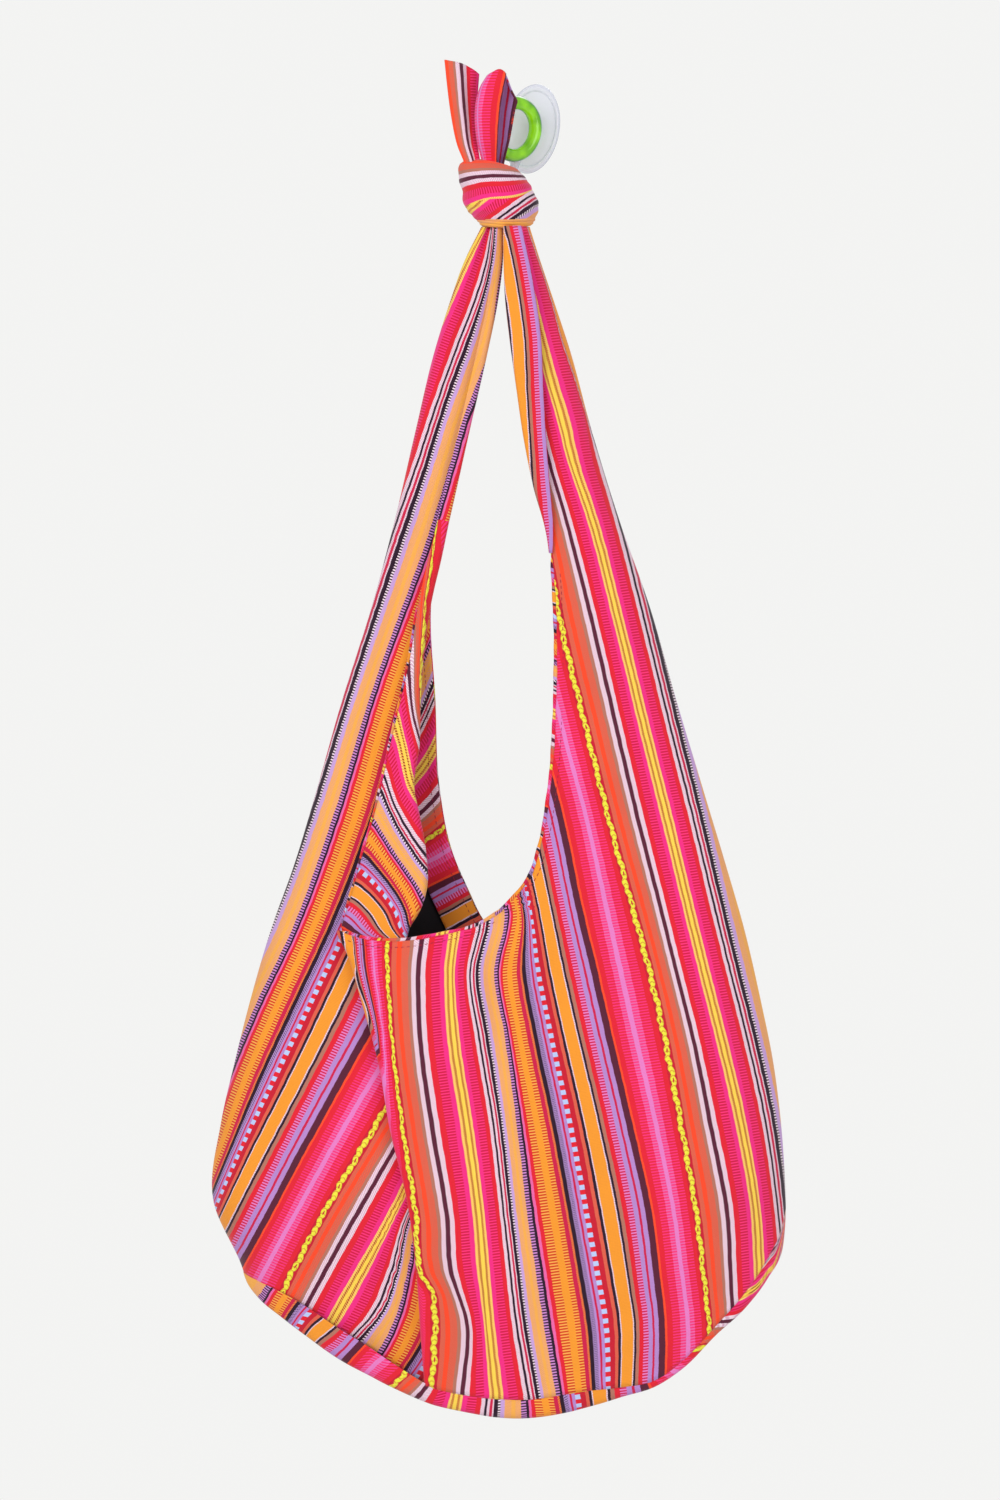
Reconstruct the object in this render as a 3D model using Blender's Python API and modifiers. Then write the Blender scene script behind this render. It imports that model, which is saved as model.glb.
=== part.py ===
"""Striped cotton sling bag, knotted at the top and hung on a ring hook.

Lengths in the tables and constants are millimetres.  The origin is the middle
of the hook plate's back face: X runs to the right, Y into the wall, Z up, so
everything lies at negative Y and the bag hangs below the plate.
"""

import math

import bmesh
import bpy
import numpy as np
from mathutils import Matrix, Vector

MILLIMETRE = 0.001

# Cloth
SHEET = 2.0             # thickness of the outer panels
THIN_SHEET = 1.0        # thickness of the lining and the mouth facings
LAYER = 4.5             # from one layer of the front pleat to the next
PIECE_GAP = 0.4         # half the gap where two panels meet in a side seam
SEAM_GAP = 0.8          # half the gap at the base's seam, whose edges are chords

# Heights
STRAP_TOP = -68.3       # the straps end here, under the knot
KNOT_TOP = -25.0
KNOT_BOTTOM = -68.0
CORNER_HEIGHT = -532.0  # where the flap's hem meets the front hem
RIGHT_STRAP_START = -519.0
BACK_STRAP_START = -515.0
LAPEL_END = -290.0      # the turned out hem of the right strap ends here

# A row for each height of the bag: its side edges and its depths.
BODY_COLUMNS = ("height", "left", "right", "back", "side", "front", "rounding")
BODY = (
    (-68.0, -34.0, -1.0, -25.0, -38.0, -52.0, 13.0),
    (-90.0, -45.0, 6.0, -23.0, -36.0, -51.0, 15.0),
    (-115.0, -54.0, 17.0, -20.0, -33.0, -50.0, 18.0),
    (-150.0, -65.0, 29.0, -17.0, -30.0, -48.0, 20.0),
    (-200.0, -77.0, 44.0, -13.0, -27.0, -46.0, 22.0),
    (-260.0, -91.0, 61.0, -10.0, -25.0, -45.0, 26.0),
    (-320.0, -107.0, 79.0, -8.0, -24.0, -45.0, 32.0),
    (-380.0, -126.0, 96.0, -7.0, -25.0, -47.0, 40.0),
    (-440.0, -143.0, 114.0, -6.0, -27.0, -51.0, 50.0),
    (-490.0, -158.0, 129.0, -6.0, -29.0, -56.0, 58.0),
    (-532.0, -173.0, 141.0, -6.0, -31.0, -61.0, 66.0),
    (-580.0, -187.0, 152.0, -6.0, -34.0, -68.0, 76.0),
    (-620.0, -197.0, 160.0, -6.0, -36.0, -74.0, 86.0),
    (-660.0, -206.0, 165.0, -6.0, -38.0, -80.0, 96.0),
    (-710.0, -211.0, 168.0, -6.0, -40.0, -86.0, 112.0),
    (-757.0, -191.0, 168.0, -6.0, -42.0, -90.0, 130.0),
    (-860.0, -191.0, 168.0, -6.0, -44.0, -92.0, 150.0),
)
BACK_ROUNDING = 0.6         # the back's rounding against the front's

# A row for each height of the front pleat: its inner fold and its outer edge,
# which is a free hem above the corner and a fold below it.
PLEAT_COLUMNS = ("height", "inner_fold", "outer_edge")
PLEAT = (
    (-68.0, -23.5, -26.0),
    (-90.0, -23.5, -26.5),
    (-115.0, -24.5, -28.5),
    (-150.0, -30.0, -35.0),
    (-200.0, -42.0, -47.0),
    (-260.0, -56.0, -62.0),
    (-320.0, -70.0, -76.0),
    (-380.0, -76.0, -87.0),
    (-440.0, -78.0, -100.0),
    (-490.0, -74.0, -115.0),
    (-532.0, -80.0, -126.0),
    (-580.0, -76.0, -108.0),
    (-620.0, -68.0, -98.0),
    (-660.0, -60.0, -91.0),
    (-710.0, -46.0, -79.0),
    (-757.0, -40.0, -73.0),
    (-800.0, -37.0, -70.0),
    (-860.0, -34.0, -65.0),
)

# A row for each height of the right strap: its inner edge, and how far the
# hem that is turned out over it reaches back.
RIGHT_STRAP_COLUMNS = ("height", "inner", "lapel")
RIGHT_STRAP = (
    (-68.0, -15.0, 8.0),
    (-90.0, -15.0, 14.0),
    (-115.0, -14.0, 17.0),
    (-142.0, -11.0, 18.0),
    (-175.0, -5.0, 15.0),
    (-209.0, 2.0, 11.0),
    (-240.0, 9.0, 7.0),
    (-265.0, 14.5, 5.0),
    (-290.0, 15.5, 3.0),
    (-320.0, 15.5, 0.0),
    (-380.0, 15.0, 0.0),
    (-440.0, 11.0, 0.0),
    (-475.0, 5.0, 0.0),
    (-500.0, -4.0, 0.0),
    (-519.0, -21.0, 0.0),
)

# The front hem between the corner and the right strap.
FRONT_HEM_COLUMNS = ("across", "height")
FRONT_HEM = (
    (-127.0, -532.0),
    (-108.0, -537.0),
    (-87.0, -538.0),
    (-60.0, -534.0),
    (-34.0, -527.0),
    (-21.0, -519.0),
)

# A row for each height of the back panel's mouth.
BACK_MOUTH_COLUMNS = ("height", "left_edge", "right_edge")
BACK_MOUTH = (
    (-68.0, -25.5, -12.0),
    (-115.0, -26.0, -11.0),
    (-150.0, -33.0, -5.0),
    (-200.0, -46.0, 4.0),
    (-260.0, -60.0, 15.0),
    (-320.0, -67.0, 19.0),
    (-380.0, -64.0, 19.0),
    (-440.0, -61.0, 16.0),
    (-480.0, -53.0, 8.0),
    (-515.0, -38.0, -4.0),
)
BACK_MOUTH_DEPTH = 19.0     # how far the mouth reaches below the last row

# The seam between the panels and the base, and the base's lower edge.
BASE_COLUMNS = ("across", "seam", "low")
BASE = (
    (-191.0, -757.0, -768.0),
    (-180.0, -763.0, -775.0),
    (-165.0, -770.0, -786.0),
    (-150.0, -778.0, -797.0),
    (-130.0, -791.0, -811.0),
    (-110.0, -803.0, -822.0),
    (-90.0, -816.0, -832.0),
    (-66.0, -830.0, -842.0),
    (-40.0, -836.0, -848.0),
    (-20.0, -838.0, -851.0),
    (0.0, -838.0, -851.0),
    (20.0, -835.0, -848.0),
    (40.0, -832.0, -843.0),
    (60.0, -830.0, -837.0),
    (80.0, -826.0, -831.0),
    (100.0, -812.0, -818.0),
    (120.0, -791.0, -798.0),
    (140.0, -769.0, -780.0),
    (155.0, -747.0, -761.0),
    (165.0, -725.0, -742.0),
    (168.0, -712.0, -730.0),
)
BASE_END_ROOM = 1.8

# The base's section, front to back: the share of the room behind the front
# seam, the share of the drop from the seam to the lower edge, and the sag.
BASE_SECTION = (
    (0.0, 0.0, 0.0),
    (0.01, 0.5, 0.0),
    (0.06, 1.0, 0.0),
    (0.28, 1.0, 0.8),
    (0.55, 1.0, 0.8),
    (0.80, 1.0, 0.0),
    (0.98, 1.0, -1.0),
    (1.0, 0.0, 0.0),
)

# A row for each soft fold of the front: where it starts and ends, and its size.
FOLD_COLUMNS = ("top_across", "top_height", "low_across", "low_height", "half_width", "depth")
FOLDS = (
    (-24.0, -530.0, -20.0, -690.0, 10.0, 4.0),
    (6.0, -500.0, 46.0, -800.0, 15.0, 3.5),
    (66.0, -400.0, 112.0, -790.0, 18.0, 3.0),
    (-140.0, -540.0, -176.0, -745.0, 13.0, 3.0),
    (-52.0, -690.0, -44.0, -850.0, 9.0, 3.5),
    (-105.0, -660.0, -120.0, -820.0, 12.0, -2.5),
)
FOLD_FADE = 0.25            # share of a fold's length that it fades over at each end

# A row for each height of the lining's upper edge at the back.
LINING_TOP_COLUMNS = ("across", "height")
LINING_TOP = (
    (-170.0, -505.0),
    (-105.0, -470.0),
    (-86.0, -482.0),
    (-74.0, -505.0),
    (-58.0, -532.0),
    (-40.0, -550.0),
    (-12.0, -556.0),
    (8.0, -548.0),
    (22.0, -530.0),
    (33.0, -505.0),
    (42.0, -482.0),
    (60.0, -470.0),
    (150.0, -520.0),
)
LINING_FRONT_TOP = -572.0
LINING_SIDE_ROOM = 15.0     # from the outer cloth to the lining at each side
LINING_BACK_ROOM = 4.2
LINING_FRONT_ROOM = 13.5
LINING_BOTTOM_ROOM = 9.0

LINING_ROOM = 4.0           # least room between the lining's front and back

# Facings
FACING_WIDTH = 34.0
FACING_HEM = 0.8            # a facing stops this far inside the hem it backs
FACING_ROOM = 6.2           # in front of the back panel
FACING_SIDE_ROOM = 14.0
FLAP_FACING_ROOM = 2.0      # in front of the flap
FLAP_FACING_TOP = -268.0
FLAP_FACING_LOW = -556.0
FLAP_FACING_TUCK = 5.0      # it narrows by this much under the corner
FLAP_FACING_TUCK_HEIGHT = 10.0
BACK_FACING_TOP = -285.0

# Knot: a row for each height, with its middle, half width and half depth.
KNOT_COLUMNS = ("height", "across", "half_width", "half_depth")
KNOT = (
    (-25.0, -31.5, 15.0, 12.0),
    (-29.0, -29.5, 18.0, 15.0),
    (-36.0, -26.0, 20.5, 18.0),
    (-43.5, -22.5, 22.0, 19.5),
    (-54.0, -20.0, 23.0, 19.5),
    (-60.0, -18.0, 20.0, 17.0),
    (-64.5, -17.0, 17.0, 15.0),
    (-68.0, -17.0, 15.0, 13.5),
)
KNOT_DEPTH = -38.0
KNOT_ROWS = 17
KNOT_SIDES = 28
# A row for each groove between two turns of the knot: its height at the middle,
# how much higher it is at the right than at the middle, its width and depth.
GROOVE_COLUMNS = ("height", "rise", "half_width", "depth")
GROOVES = (
    (-50.0, 6.5, 1.6, 0.13),
    (-60.5, 6.0, 1.4, 0.12),
)

# Tails: a row for each height, with the section's left, middle and right.
LEFT_TAIL_COLUMNS = ("height", "x_left", "y_left", "x_middle", "y_middle", "x_right", "y_right")
LEFT_TAIL = (
    (-24.3, -45.0, -46.0, -39.0, -48.5, -34.5, -44.0),
    (-15.0, -49.0, -46.5, -42.0, -49.5, -36.0, -42.5),
    (0.0, -53.0, -48.0, -44.5, -51.5, -36.5, -41.5),
    (18.0, -56.0, -50.0, -47.0, -53.5, -36.0, -42.0),
    (31.0, -57.5, -51.0, -48.5, -54.5, -35.0, -43.0),
)
LEFT_TAIL_RISE = 11.0       # the tail's left corner stands this much higher
RIGHT_TAIL_COLUMNS = ("height", "across", "depth", "half_width", "half_depth", "opening_deg")
RIGHT_TAIL = (
    (-24.3, -25.5, -44.0, 7.0, 4.0, 70.0),
    (-12.0, -25.5, -49.5, 10.0, 5.5, 75.0),
    (2.0, -25.0, -53.0, 12.0, 6.5, 78.0),
    (18.0, -23.5, -54.5, 12.5, 6.5, 74.0),
    (29.0, -22.0, -54.5, 11.0, 5.5, 66.0),
    (35.0, -21.5, -54.0, 8.0, 4.0, 50.0),
)
RIGHT_TAIL_FACES = math.radians(-35.0)  # the way its opening faces
TAIL_SHEET = 1.6

# Hook
PLATE_HALF_WIDTH = 18.5
PLATE_HALF_HEIGHT = 30.0
PLATE_LEAN = math.radians(10.0)
PLATE_BASE = 3.0
PLATE_RIM = 4.5
# The plate's section: a share of its radius, and a depth.
PLATE_PROFILE = (
    (0.0, PLATE_BASE),
    (0.80, PLATE_BASE),
    (0.86, PLATE_RIM),
    (0.94, PLATE_RIM),
    (1.0, PLATE_BASE),
    (1.0, 0.0),
    (0.0, 0.0),
)
RING_RADIUS = 17.4
RING_TUBE = 4.4
RING_TURN = math.radians(40.0)
RING_LEAN = math.radians(12.0)
RING_MIDDLE = (-11.2, -21.2, -1.6)
STUB_RADIUS = 3.6
STUB_PLACE = (1.6, 1.5)
ARM_RADIUS = 3.0
# The arm's route, from the ring's foot, down behind the knot and forward under it.
ARM_ROUTE = (
    (-8.5, -17.6, -18.5),
    (-11.5, -12.6, -25.5),
    (-14.0, -10.8, -36.0),
    (-16.5, -10.4, -50.0),
    (-18.4, -10.6, -62.0),
    (-19.0, -12.4, -68.6),
    (-19.0, -16.8, -71.6),
    (-19.0, -26.0, -71.6),
    (-19.0, -35.5, -71.4),
)

# Steps of the surfaces
FRONT_LOW_ROWS = 11
FRONT_HIGH_ROWS = 14
BACK_LOW_ROWS = 9
BACK_HIGH_ROWS = 12
MOUTH_QUADS = 6
STRAP_QUADS = 8
BACK_STRAP_QUADS = 7
BACK_MOUTH_QUADS = 4
STRAP_BIAS = 1.3            # above 1, a strap's rows are closer near its foot
FOLD_STEPS = 4
BASE_QUADS = 24
LINING_QUADS = 14
LINING_ROWS = 9
HEIGHT_SEARCHES = 60        # halvings that find where a line meets a curve
FACING_ROWS = 10
FLAP_FACING_QUADS = 4
FLAP_FACING_LOW_ROWS = 2
BACK_FACING_QUADS = 3
MOUTH_BOTTOM_STEPS = 6
UNDER_QUADS = 8
FLAP_QUADS = 3
LAPEL_QUADS = 2
TAIL_ROWS = 8
TAIL_QUADS = 6
PLATE_SIDES = 36
RING_SIDES = 32
RING_TUBE_SIDES = 10
STUB_SIDES = 12
STUB_DEPTH = 9.0
ARM_POINTS = 22

FRONT_COLOURS = (0.80, 0.12, 0.16, 1.0)
BACK_COLOURS = (0.78, 0.16, 0.30, 1.0)
BASE_COLOURS = (0.85, 0.30, 0.10, 1.0)
FACING_COLOURS = (0.75, 0.25, 0.40, 1.0)
LINING_COLOURS = (0.006, 0.006, 0.008, 1.0)
KNOT_COLOURS = (0.82, 0.10, 0.20, 1.0)
TAIL_COLOURS = (0.84, 0.20, 0.12, 1.0)
PLATE_COLOURS = (0.78, 0.80, 0.84, 1.0)
RING_COLOURS = (0.12, 0.62, 0.01, 1.0)


def column(table, names, name):
    """Return one named column of a table as an array."""
    return np.array([row[names.index(name)] for row in table], dtype=float)


def smooth_curve(keys, values, at):
    """Read a smooth curve through the values, whose keys may run either way."""
    order = np.argsort(keys)
    keys = np.asarray(keys, dtype=float)[order]
    values = np.asarray(values, dtype=float)[order]
    at = np.clip(np.asarray(at, dtype=float), keys[0], keys[-1])
    slopes = np.gradient(values, keys)
    index = np.clip(np.searchsorted(keys, at, side="right") - 1, 0, len(keys) - 2)
    span = keys[index + 1] - keys[index]
    t = (at - keys[index]) / span
    start_weight = 2 * t**3 - 3 * t**2 + 1
    start_slope_weight = t**3 - 2 * t**2 + t
    end_weight = 3 * t**2 - 2 * t**3
    end_slope_weight = t**3 - t**2
    return (start_weight * values[index] + start_slope_weight * span * slopes[index]
            + end_weight * values[index + 1] + end_slope_weight * span * slopes[index + 1])


def read(table, names, key, name, at):
    """Read one named column of a table, smoothly, at values of its key column."""
    return smooth_curve(column(table, names, key), column(table, names, name), at)


def body(name, height):
    return read(BODY, BODY_COLUMNS, "height", name, height)


def pleat(name, height):
    return read(PLEAT, PLEAT_COLUMNS, "height", name, height)


def right_strap(name, height):
    return read(RIGHT_STRAP, RIGHT_STRAP_COLUMNS, "height", name, height)


def back_mouth(name, height):
    return read(BACK_MOUTH, BACK_MOUTH_COLUMNS, "height", name, height)


def base(name, across):
    return read(BASE, BASE_COLUMNS, "across", name, across)


def left_side(height):
    return body("left", height) + SHEET / 2


def right_side(height):
    return body("right", height) - SHEET / 2


def quarter_round(distance, radius):
    """Rise from 0 to 1 over a radius, upright at the start and level at the end."""
    t = np.clip(distance / radius, 0.0, 1.0)
    return np.sqrt(1.0 - (1.0 - t) ** 2)


def side_rounding(across, height, radius):
    return (quarter_round(across - left_side(height), radius)
            * quarter_round(right_side(height) - across, radius))


def soft_step(t):
    t = np.clip(t, 0.0, 1.0)
    return t * t * (3.0 - 2.0 * t)


def fold_depth(across, height):
    """Add up the soft folds of the front, which run down it and fade at both ends."""
    total = np.zeros_like(np.asarray(across, dtype=float))
    for row in FOLDS:
        fold = dict(zip(FOLD_COLUMNS, row))
        drop = (height - fold["top_height"]) / (fold["low_height"] - fold["top_height"])
        middle = fold["top_across"] + (fold["low_across"] - fold["top_across"]) * drop
        along = soft_step(drop / FOLD_FADE) * soft_step((1.0 - drop) / FOLD_FADE)
        section = np.exp(-((across - middle) / fold["half_width"]) ** 2)
        total = total + fold["depth"] * along * section
    return total


def front_depth(across, height):
    """Depth of the outermost front cloth."""
    rounding = side_rounding(across, height, body("rounding", height))
    side = body("side", height) - PIECE_GAP
    return side + (body("front", height) - side) * rounding + fold_depth(across, height) * rounding


def back_depth(across, height):
    """Depth of the back panel."""
    rounding = side_rounding(across, height, BACK_ROUNDING * body("rounding", height))
    side = body("side", height) + PIECE_GAP
    return side + (body("back", height) - side) * rounding


class Sheet:
    """Collects the points and faces of one open cloth surface."""

    def __init__(self):
        self.mesh = bmesh.new()

    def line(self, across, depth, height):
        """Add the points of one line of cloth, from arrays in millimetres."""
        places = zip(across, depth, height)
        return [self.mesh.verts.new(Vector(place) * MILLIMETRE) for place in places]

    def lines(self, columns):
        return [self.line(*values) for values in columns]

    def skin(self, lines):
        """Fill the quads between neighbouring lines of points."""
        for first, second in zip(lines, lines[1:]):
            for k in range(len(first) - 1):
                self.mesh.faces.new((first[k], second[k], second[k + 1], first[k + 1]))

    def finish(self, name, collection, colours, thickness):
        """Make the object, with its thickness as a Solidify modifier."""
        bmesh.ops.recalc_face_normals(self.mesh, faces=self.mesh.faces)
        cloth = new_object(name, self.mesh, collection, colours, roughness=0.9)
        shell = cloth.modifiers.new("thickness", "SOLIDIFY")
        shell.thickness = thickness * MILLIMETRE
        shell.offset = 0.0
        shell.use_even_offset = True
        return cloth


def new_material(name, colours, roughness):
    material = bpy.data.materials.new(name)
    material.use_nodes = True
    shader = material.node_tree.nodes["Principled BSDF"]
    shader.inputs["Base Color"].default_value = colours
    shader.inputs["Roughness"].default_value = roughness
    shader.inputs["Metallic"].default_value = 0.0
    return material


def new_object(name, mesh, collection, colours, roughness):
    """Turn a bmesh into a named object with its own material."""
    data = bpy.data.meshes.new(name)
    mesh.to_mesh(data)
    mesh.free()
    data.shade_smooth()
    result = bpy.data.objects.new(name, data)
    result.data.materials.append(new_material(name, colours, roughness))
    collection.objects.link(result)
    return result


def cloth_line(edge_from, edge_to, fraction, ends, rows, depth_at):
    """Work out one line of cloth that runs up the bag between two edges.

    ends holds the heights that the line starts, turns and stops at, and rows
    the number of steps between them, which are closer near a strap's foot.
    """
    heights = [np.array([ends[0]])]
    for low, high, count in zip(ends, ends[1:], rows):
        bias = STRAP_BIAS if high == STRAP_TOP else 1.0
        heights.append(low + (high - low) * even(count)[1:] ** bias)
    heights = np.concatenate(heights)
    across = edge_from(heights) * (1.0 - fraction) + edge_to(heights) * fraction
    return across, depth_at(across, heights), heights


def curve_height(edge_from, edge_to, fraction, curve):
    """Find the height where one line of cloth meets a curve across the bag."""
    height = CORNER_HEIGHT
    for _ in range(HEIGHT_SEARCHES):
        across = edge_from(height) * (1.0 - fraction) + edge_to(height) * fraction
        height = 0.5 * (height + float(curve(across)))
    return height


def turn(line_from, line_to, bulge):
    """Lines that carry the cloth round a fold, from one line to another."""
    lines = []
    for k in range(1, FOLD_STEPS):
        angle = math.pi * k / FOLD_STEPS
        blend = 0.5 * (1.0 - math.cos(angle))
        across, depth, height = (a * (1.0 - blend) + b * blend for a, b in zip(line_from, line_to))
        lines.append((across + bulge * math.sin(angle), depth, height))
    return lines


def even(count):
    return np.linspace(0.0, 1.0, count + 1)


def dense_start(count):
    """Fractions from 0 to 1 that are closer at the start, where cloth turns round a side."""
    return 1.0 - np.cos(0.5 * math.pi * even(count))


def dense_end(count):
    return np.sin(0.5 * math.pi * even(count))


def seam_gap(across):
    """Half the height of the seam's gap, larger where the seam is steep."""
    step = 1.0
    slope = (base("seam", across + step) - base("seam", across - step)) / (2 * step)
    return SEAM_GAP * np.sqrt(1.0 + slope**2)


def seam_height(across):
    return base("seam", across) + seam_gap(across)


def front_hem_height(across):
    return read(FRONT_HEM, FRONT_HEM_COLUMNS, "across", "height", across)


def inner_fold(height):
    return pleat("inner_fold", height)


def flap_edge(height):
    return pleat("outer_edge", height)


def pleat_edge(height):
    """The outer fold of the pleat, which ends at the corner of the mouth."""
    return pleat("outer_edge", np.minimum(height, CORNER_HEIGHT))


def under_depth(across, height):
    """Depth of the innermost layer, which slopes back from the side to the pleat."""
    reach = 0.5 * (inner_fold(height) - left_side(height))
    slope = soft_step((across - left_side(height)) / reach)
    return front_depth(across, height) + 2 * LAYER * slope


def flap_depth(across, height):
    return front_depth(across, height) + LAYER


def pleat_lines():
    """The left part of the front: under the pleat, round its inner fold and out again."""
    rows = (FRONT_LOW_ROWS, FRONT_HIGH_ROWS)

    def lines(edge_from, edge_to, fractions, depth_at):
        result = []
        for part in fractions:
            low = curve_height(edge_from, edge_to, part, seam_height)
            ends = (low, CORNER_HEIGHT, STRAP_TOP)
            result.append(cloth_line(edge_from, edge_to, part, ends, rows, depth_at))
        return result

    under = lines(left_side, inner_fold, dense_start(UNDER_QUADS), under_depth)
    flap = lines(inner_fold, flap_edge, even(FLAP_QUADS), flap_depth)
    return under + turn(under[-1], flap[0], LAYER / 2) + flap


def over_lines():
    """The front over the pleat, up to the mouth and the foot of the right strap."""
    start = RIGHT_STRAP_START
    whole = right_side(start) - pleat_edge(start)
    strap_part = float((right_strap("inner", start) - pleat_edge(start)) / whole)
    rows = (FRONT_LOW_ROWS,)
    lines = []
    for part in strap_part * even(MOUTH_QUADS)[:-1]:
        low = curve_height(pleat_edge, right_side, part, seam_height)
        high = curve_height(pleat_edge, right_side, part, front_hem_height)
        lines.append(cloth_line(pleat_edge, right_side, part, (low, high), rows, front_depth))
    for part in strap_part + (1.0 - strap_part) * dense_end(STRAP_QUADS):
        low = curve_height(pleat_edge, right_side, part, seam_height)
        lines.append(cloth_line(pleat_edge, right_side, part, (low, start), rows, front_depth))
    return lines


def right_strap_lines():
    def inner(height):
        return right_strap("inner", height)

    ends = (RIGHT_STRAP_START, STRAP_TOP)
    return [cloth_line(inner, right_side, part, ends, (FRONT_HIGH_ROWS,), front_depth)
            for part in dense_end(STRAP_QUADS)]


def lapel_lines(hem):
    """The hem of the right strap, turned out over the strap."""
    height = hem[2]
    reach = right_strap("lapel", height)
    lines = [(hem[0] + reach * part, hem[1] - LAYER, height) for part in even(LAPEL_QUADS)]
    return turn(hem, lines[0], -LAYER / 2) + lines


def clear_of_seam(line):
    """Lift the lowest point of a line that bulges over the seam's slope."""
    across, depth, height = line
    height = height.copy()
    height[0] = max(height[0], float(seam_height(across[0] - SHEET)))
    return across, depth, height


def front_panel(collection):
    """The front with its pleat and both straps' front halves, as one cloth."""
    sheet = Sheet()
    pleats = pleat_lines()
    left = sheet.lines(pleats)
    sheet.skin(left)

    over = over_lines()
    below_corner = [values[:FRONT_LOW_ROWS + 1] for values in pleats[-1]]
    outer_turn = [clear_of_seam(line) for line in turn(below_corner, over[0], -LAYER / 2)]
    right = sheet.lines(outer_turn + over)
    sheet.skin([left[-1][:FRONT_LOW_ROWS + 1]] + right)

    strap = []
    strap_lines = right_strap_lines()
    for foot, values in zip(right[-len(strap_lines):], strap_lines):
        strap.append([foot[-1]] + sheet.line(*[part[1:] for part in values]))
    sheet.skin(strap)

    hem = strap_lines[0]
    first = int(np.argmax(hem[2] > LAPEL_END))
    lapel = sheet.lines(lapel_lines([values[first:] for values in hem]))
    sheet.skin([strap[0][first:]] + lapel)
    return sheet.finish("front_panel", collection, FRONT_COLOURS, SHEET)


def back_mouth_bottom(across):
    """Height of the rounded bottom of the back mouth."""
    left = float(back_mouth("left_edge", BACK_STRAP_START))
    right = float(back_mouth("right_edge", BACK_STRAP_START))
    half = 0.5 * (right - left)
    t = np.clip((across - left - half) / half, -1.0, 1.0)
    return BACK_STRAP_START - BACK_MOUTH_DEPTH * (1.0 - t * t)


def back_panel(collection):
    """The back with both straps' back halves, cut round the mouth."""
    start = BACK_STRAP_START
    left_edge = float(back_mouth("left_edge", start))
    right_edge = float(back_mouth("right_edge", start))
    whole = right_side(start) - left_side(start)
    left_part = float((left_edge - left_side(start)) / whole)
    right_part = float((right_edge - left_side(start)) / whole)
    quads = BACK_STRAP_QUADS

    parts = list(left_part * dense_start(quads))
    parts += list(left_part + (right_part - left_part) * even(BACK_MOUTH_QUADS)[1:-1])
    parts += list(right_part + (1.0 - right_part) * dense_end(quads))

    sheet = Sheet()
    rows = (BACK_LOW_ROWS,)
    low_lines = []
    for k, part in enumerate(parts):
        low = curve_height(left_side, right_side, part, seam_height)
        high = start
        if quads < k < quads + BACK_MOUTH_QUADS:
            high = curve_height(left_side, right_side, part, back_mouth_bottom)
        low_lines.append(cloth_line(left_side, right_side, part, (low, high), rows, back_depth))
    lower = sheet.lines(low_lines)
    sheet.skin(lower)

    def left_hem(height):
        return back_mouth("left_edge", height)

    def right_hem(height):
        return back_mouth("right_edge", height)

    straps = ((left_side, left_hem, dense_start(quads), lower[:quads + 1]),
              (right_hem, right_side, dense_end(quads), lower[-quads - 1:]))
    ends = (start, STRAP_TOP)
    rows = (BACK_HIGH_ROWS,)
    for edge_from, edge_to, fractions, feet in straps:
        strap = []
        for part, foot in zip(fractions, feet):
            values = cloth_line(edge_from, edge_to, part, ends, rows, back_depth)
            strap.append([foot[-1]] + sheet.line(*[value[1:] for value in values]))
        sheet.skin(strap)
    return sheet.finish("back_panel", collection, BACK_COLOURS, SHEET)


def base_panel(collection):
    """The base, a shallow tray whose front edge rises to the seam."""
    sheet = Sheet()
    first, last = BASE[0][0] + BASE_END_ROOM, BASE[-1][0] - BASE_END_ROOM
    middle = 0.5 * (first + last)
    stations = middle - 0.5 * (last - first) * np.cos(math.pi * even(BASE_QUADS))
    lines = []
    for across in stations:
        seam = float(base("seam", across) - seam_gap(across))
        low = float(base("low", across)) + SHEET / 2
        front = float(front_depth(across, seam))
        back = float(back_depth(across, seam))
        room, drop, sag = np.array(BASE_SECTION).T
        depth = front + (back - front) * room
        height = seam + (low - seam) * drop - sag
        lines.append((np.full(len(depth), across), depth, height))
    sheet.skin(sheet.lines(lines))
    return sheet.finish("base_panel", collection, BASE_COLOURS, SHEET)


def lining(collection):
    """The black pouch inside, closed at its sides and bottom."""
    def left(height):
        return left_side(height) + LINING_SIDE_ROOM

    def right(height):
        return right_side(height) - LINING_SIDE_ROOM

    def back(across, height):
        return back_depth(across, height) - LINING_BACK_ROOM

    def front(across, height):
        behind_front = front_depth(across, height) + LINING_FRONT_ROOM
        return np.minimum(behind_front, back(across, height) - LINING_ROOM)

    def bottom(across):
        return base("low", across) + LINING_BOTTOM_ROOM

    def back_top(across):
        return read(LINING_TOP, LINING_TOP_COLUMNS, "across", "height", across)

    rows = (LINING_ROWS,)
    back_lines = []
    front_lines = []
    for part in 0.5 * (1.0 - np.cos(math.pi * even(LINING_QUADS))):
        low = curve_height(left, right, part, bottom)
        high = curve_height(left, right, part, back_top)
        back_lines.append(cloth_line(left, right, part, (low, high), rows, back))
        front_lines.append(cloth_line(left, right, part, (low, LINING_FRONT_TOP), rows, front))
    sheet = Sheet()
    ring = sheet.lines(back_lines + front_lines[::-1])
    sheet.skin(ring + ring[:1])
    count = len(back_lines)
    for k in range(count - 1):
        far = ring[k][0], ring[k + 1][0]
        near = ring[-k - 2][0], ring[-k - 1][0]
        sheet.mesh.faces.new((*far, *near))
    return sheet.finish("lining", collection, LINING_COLOURS, THIN_SHEET)


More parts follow.
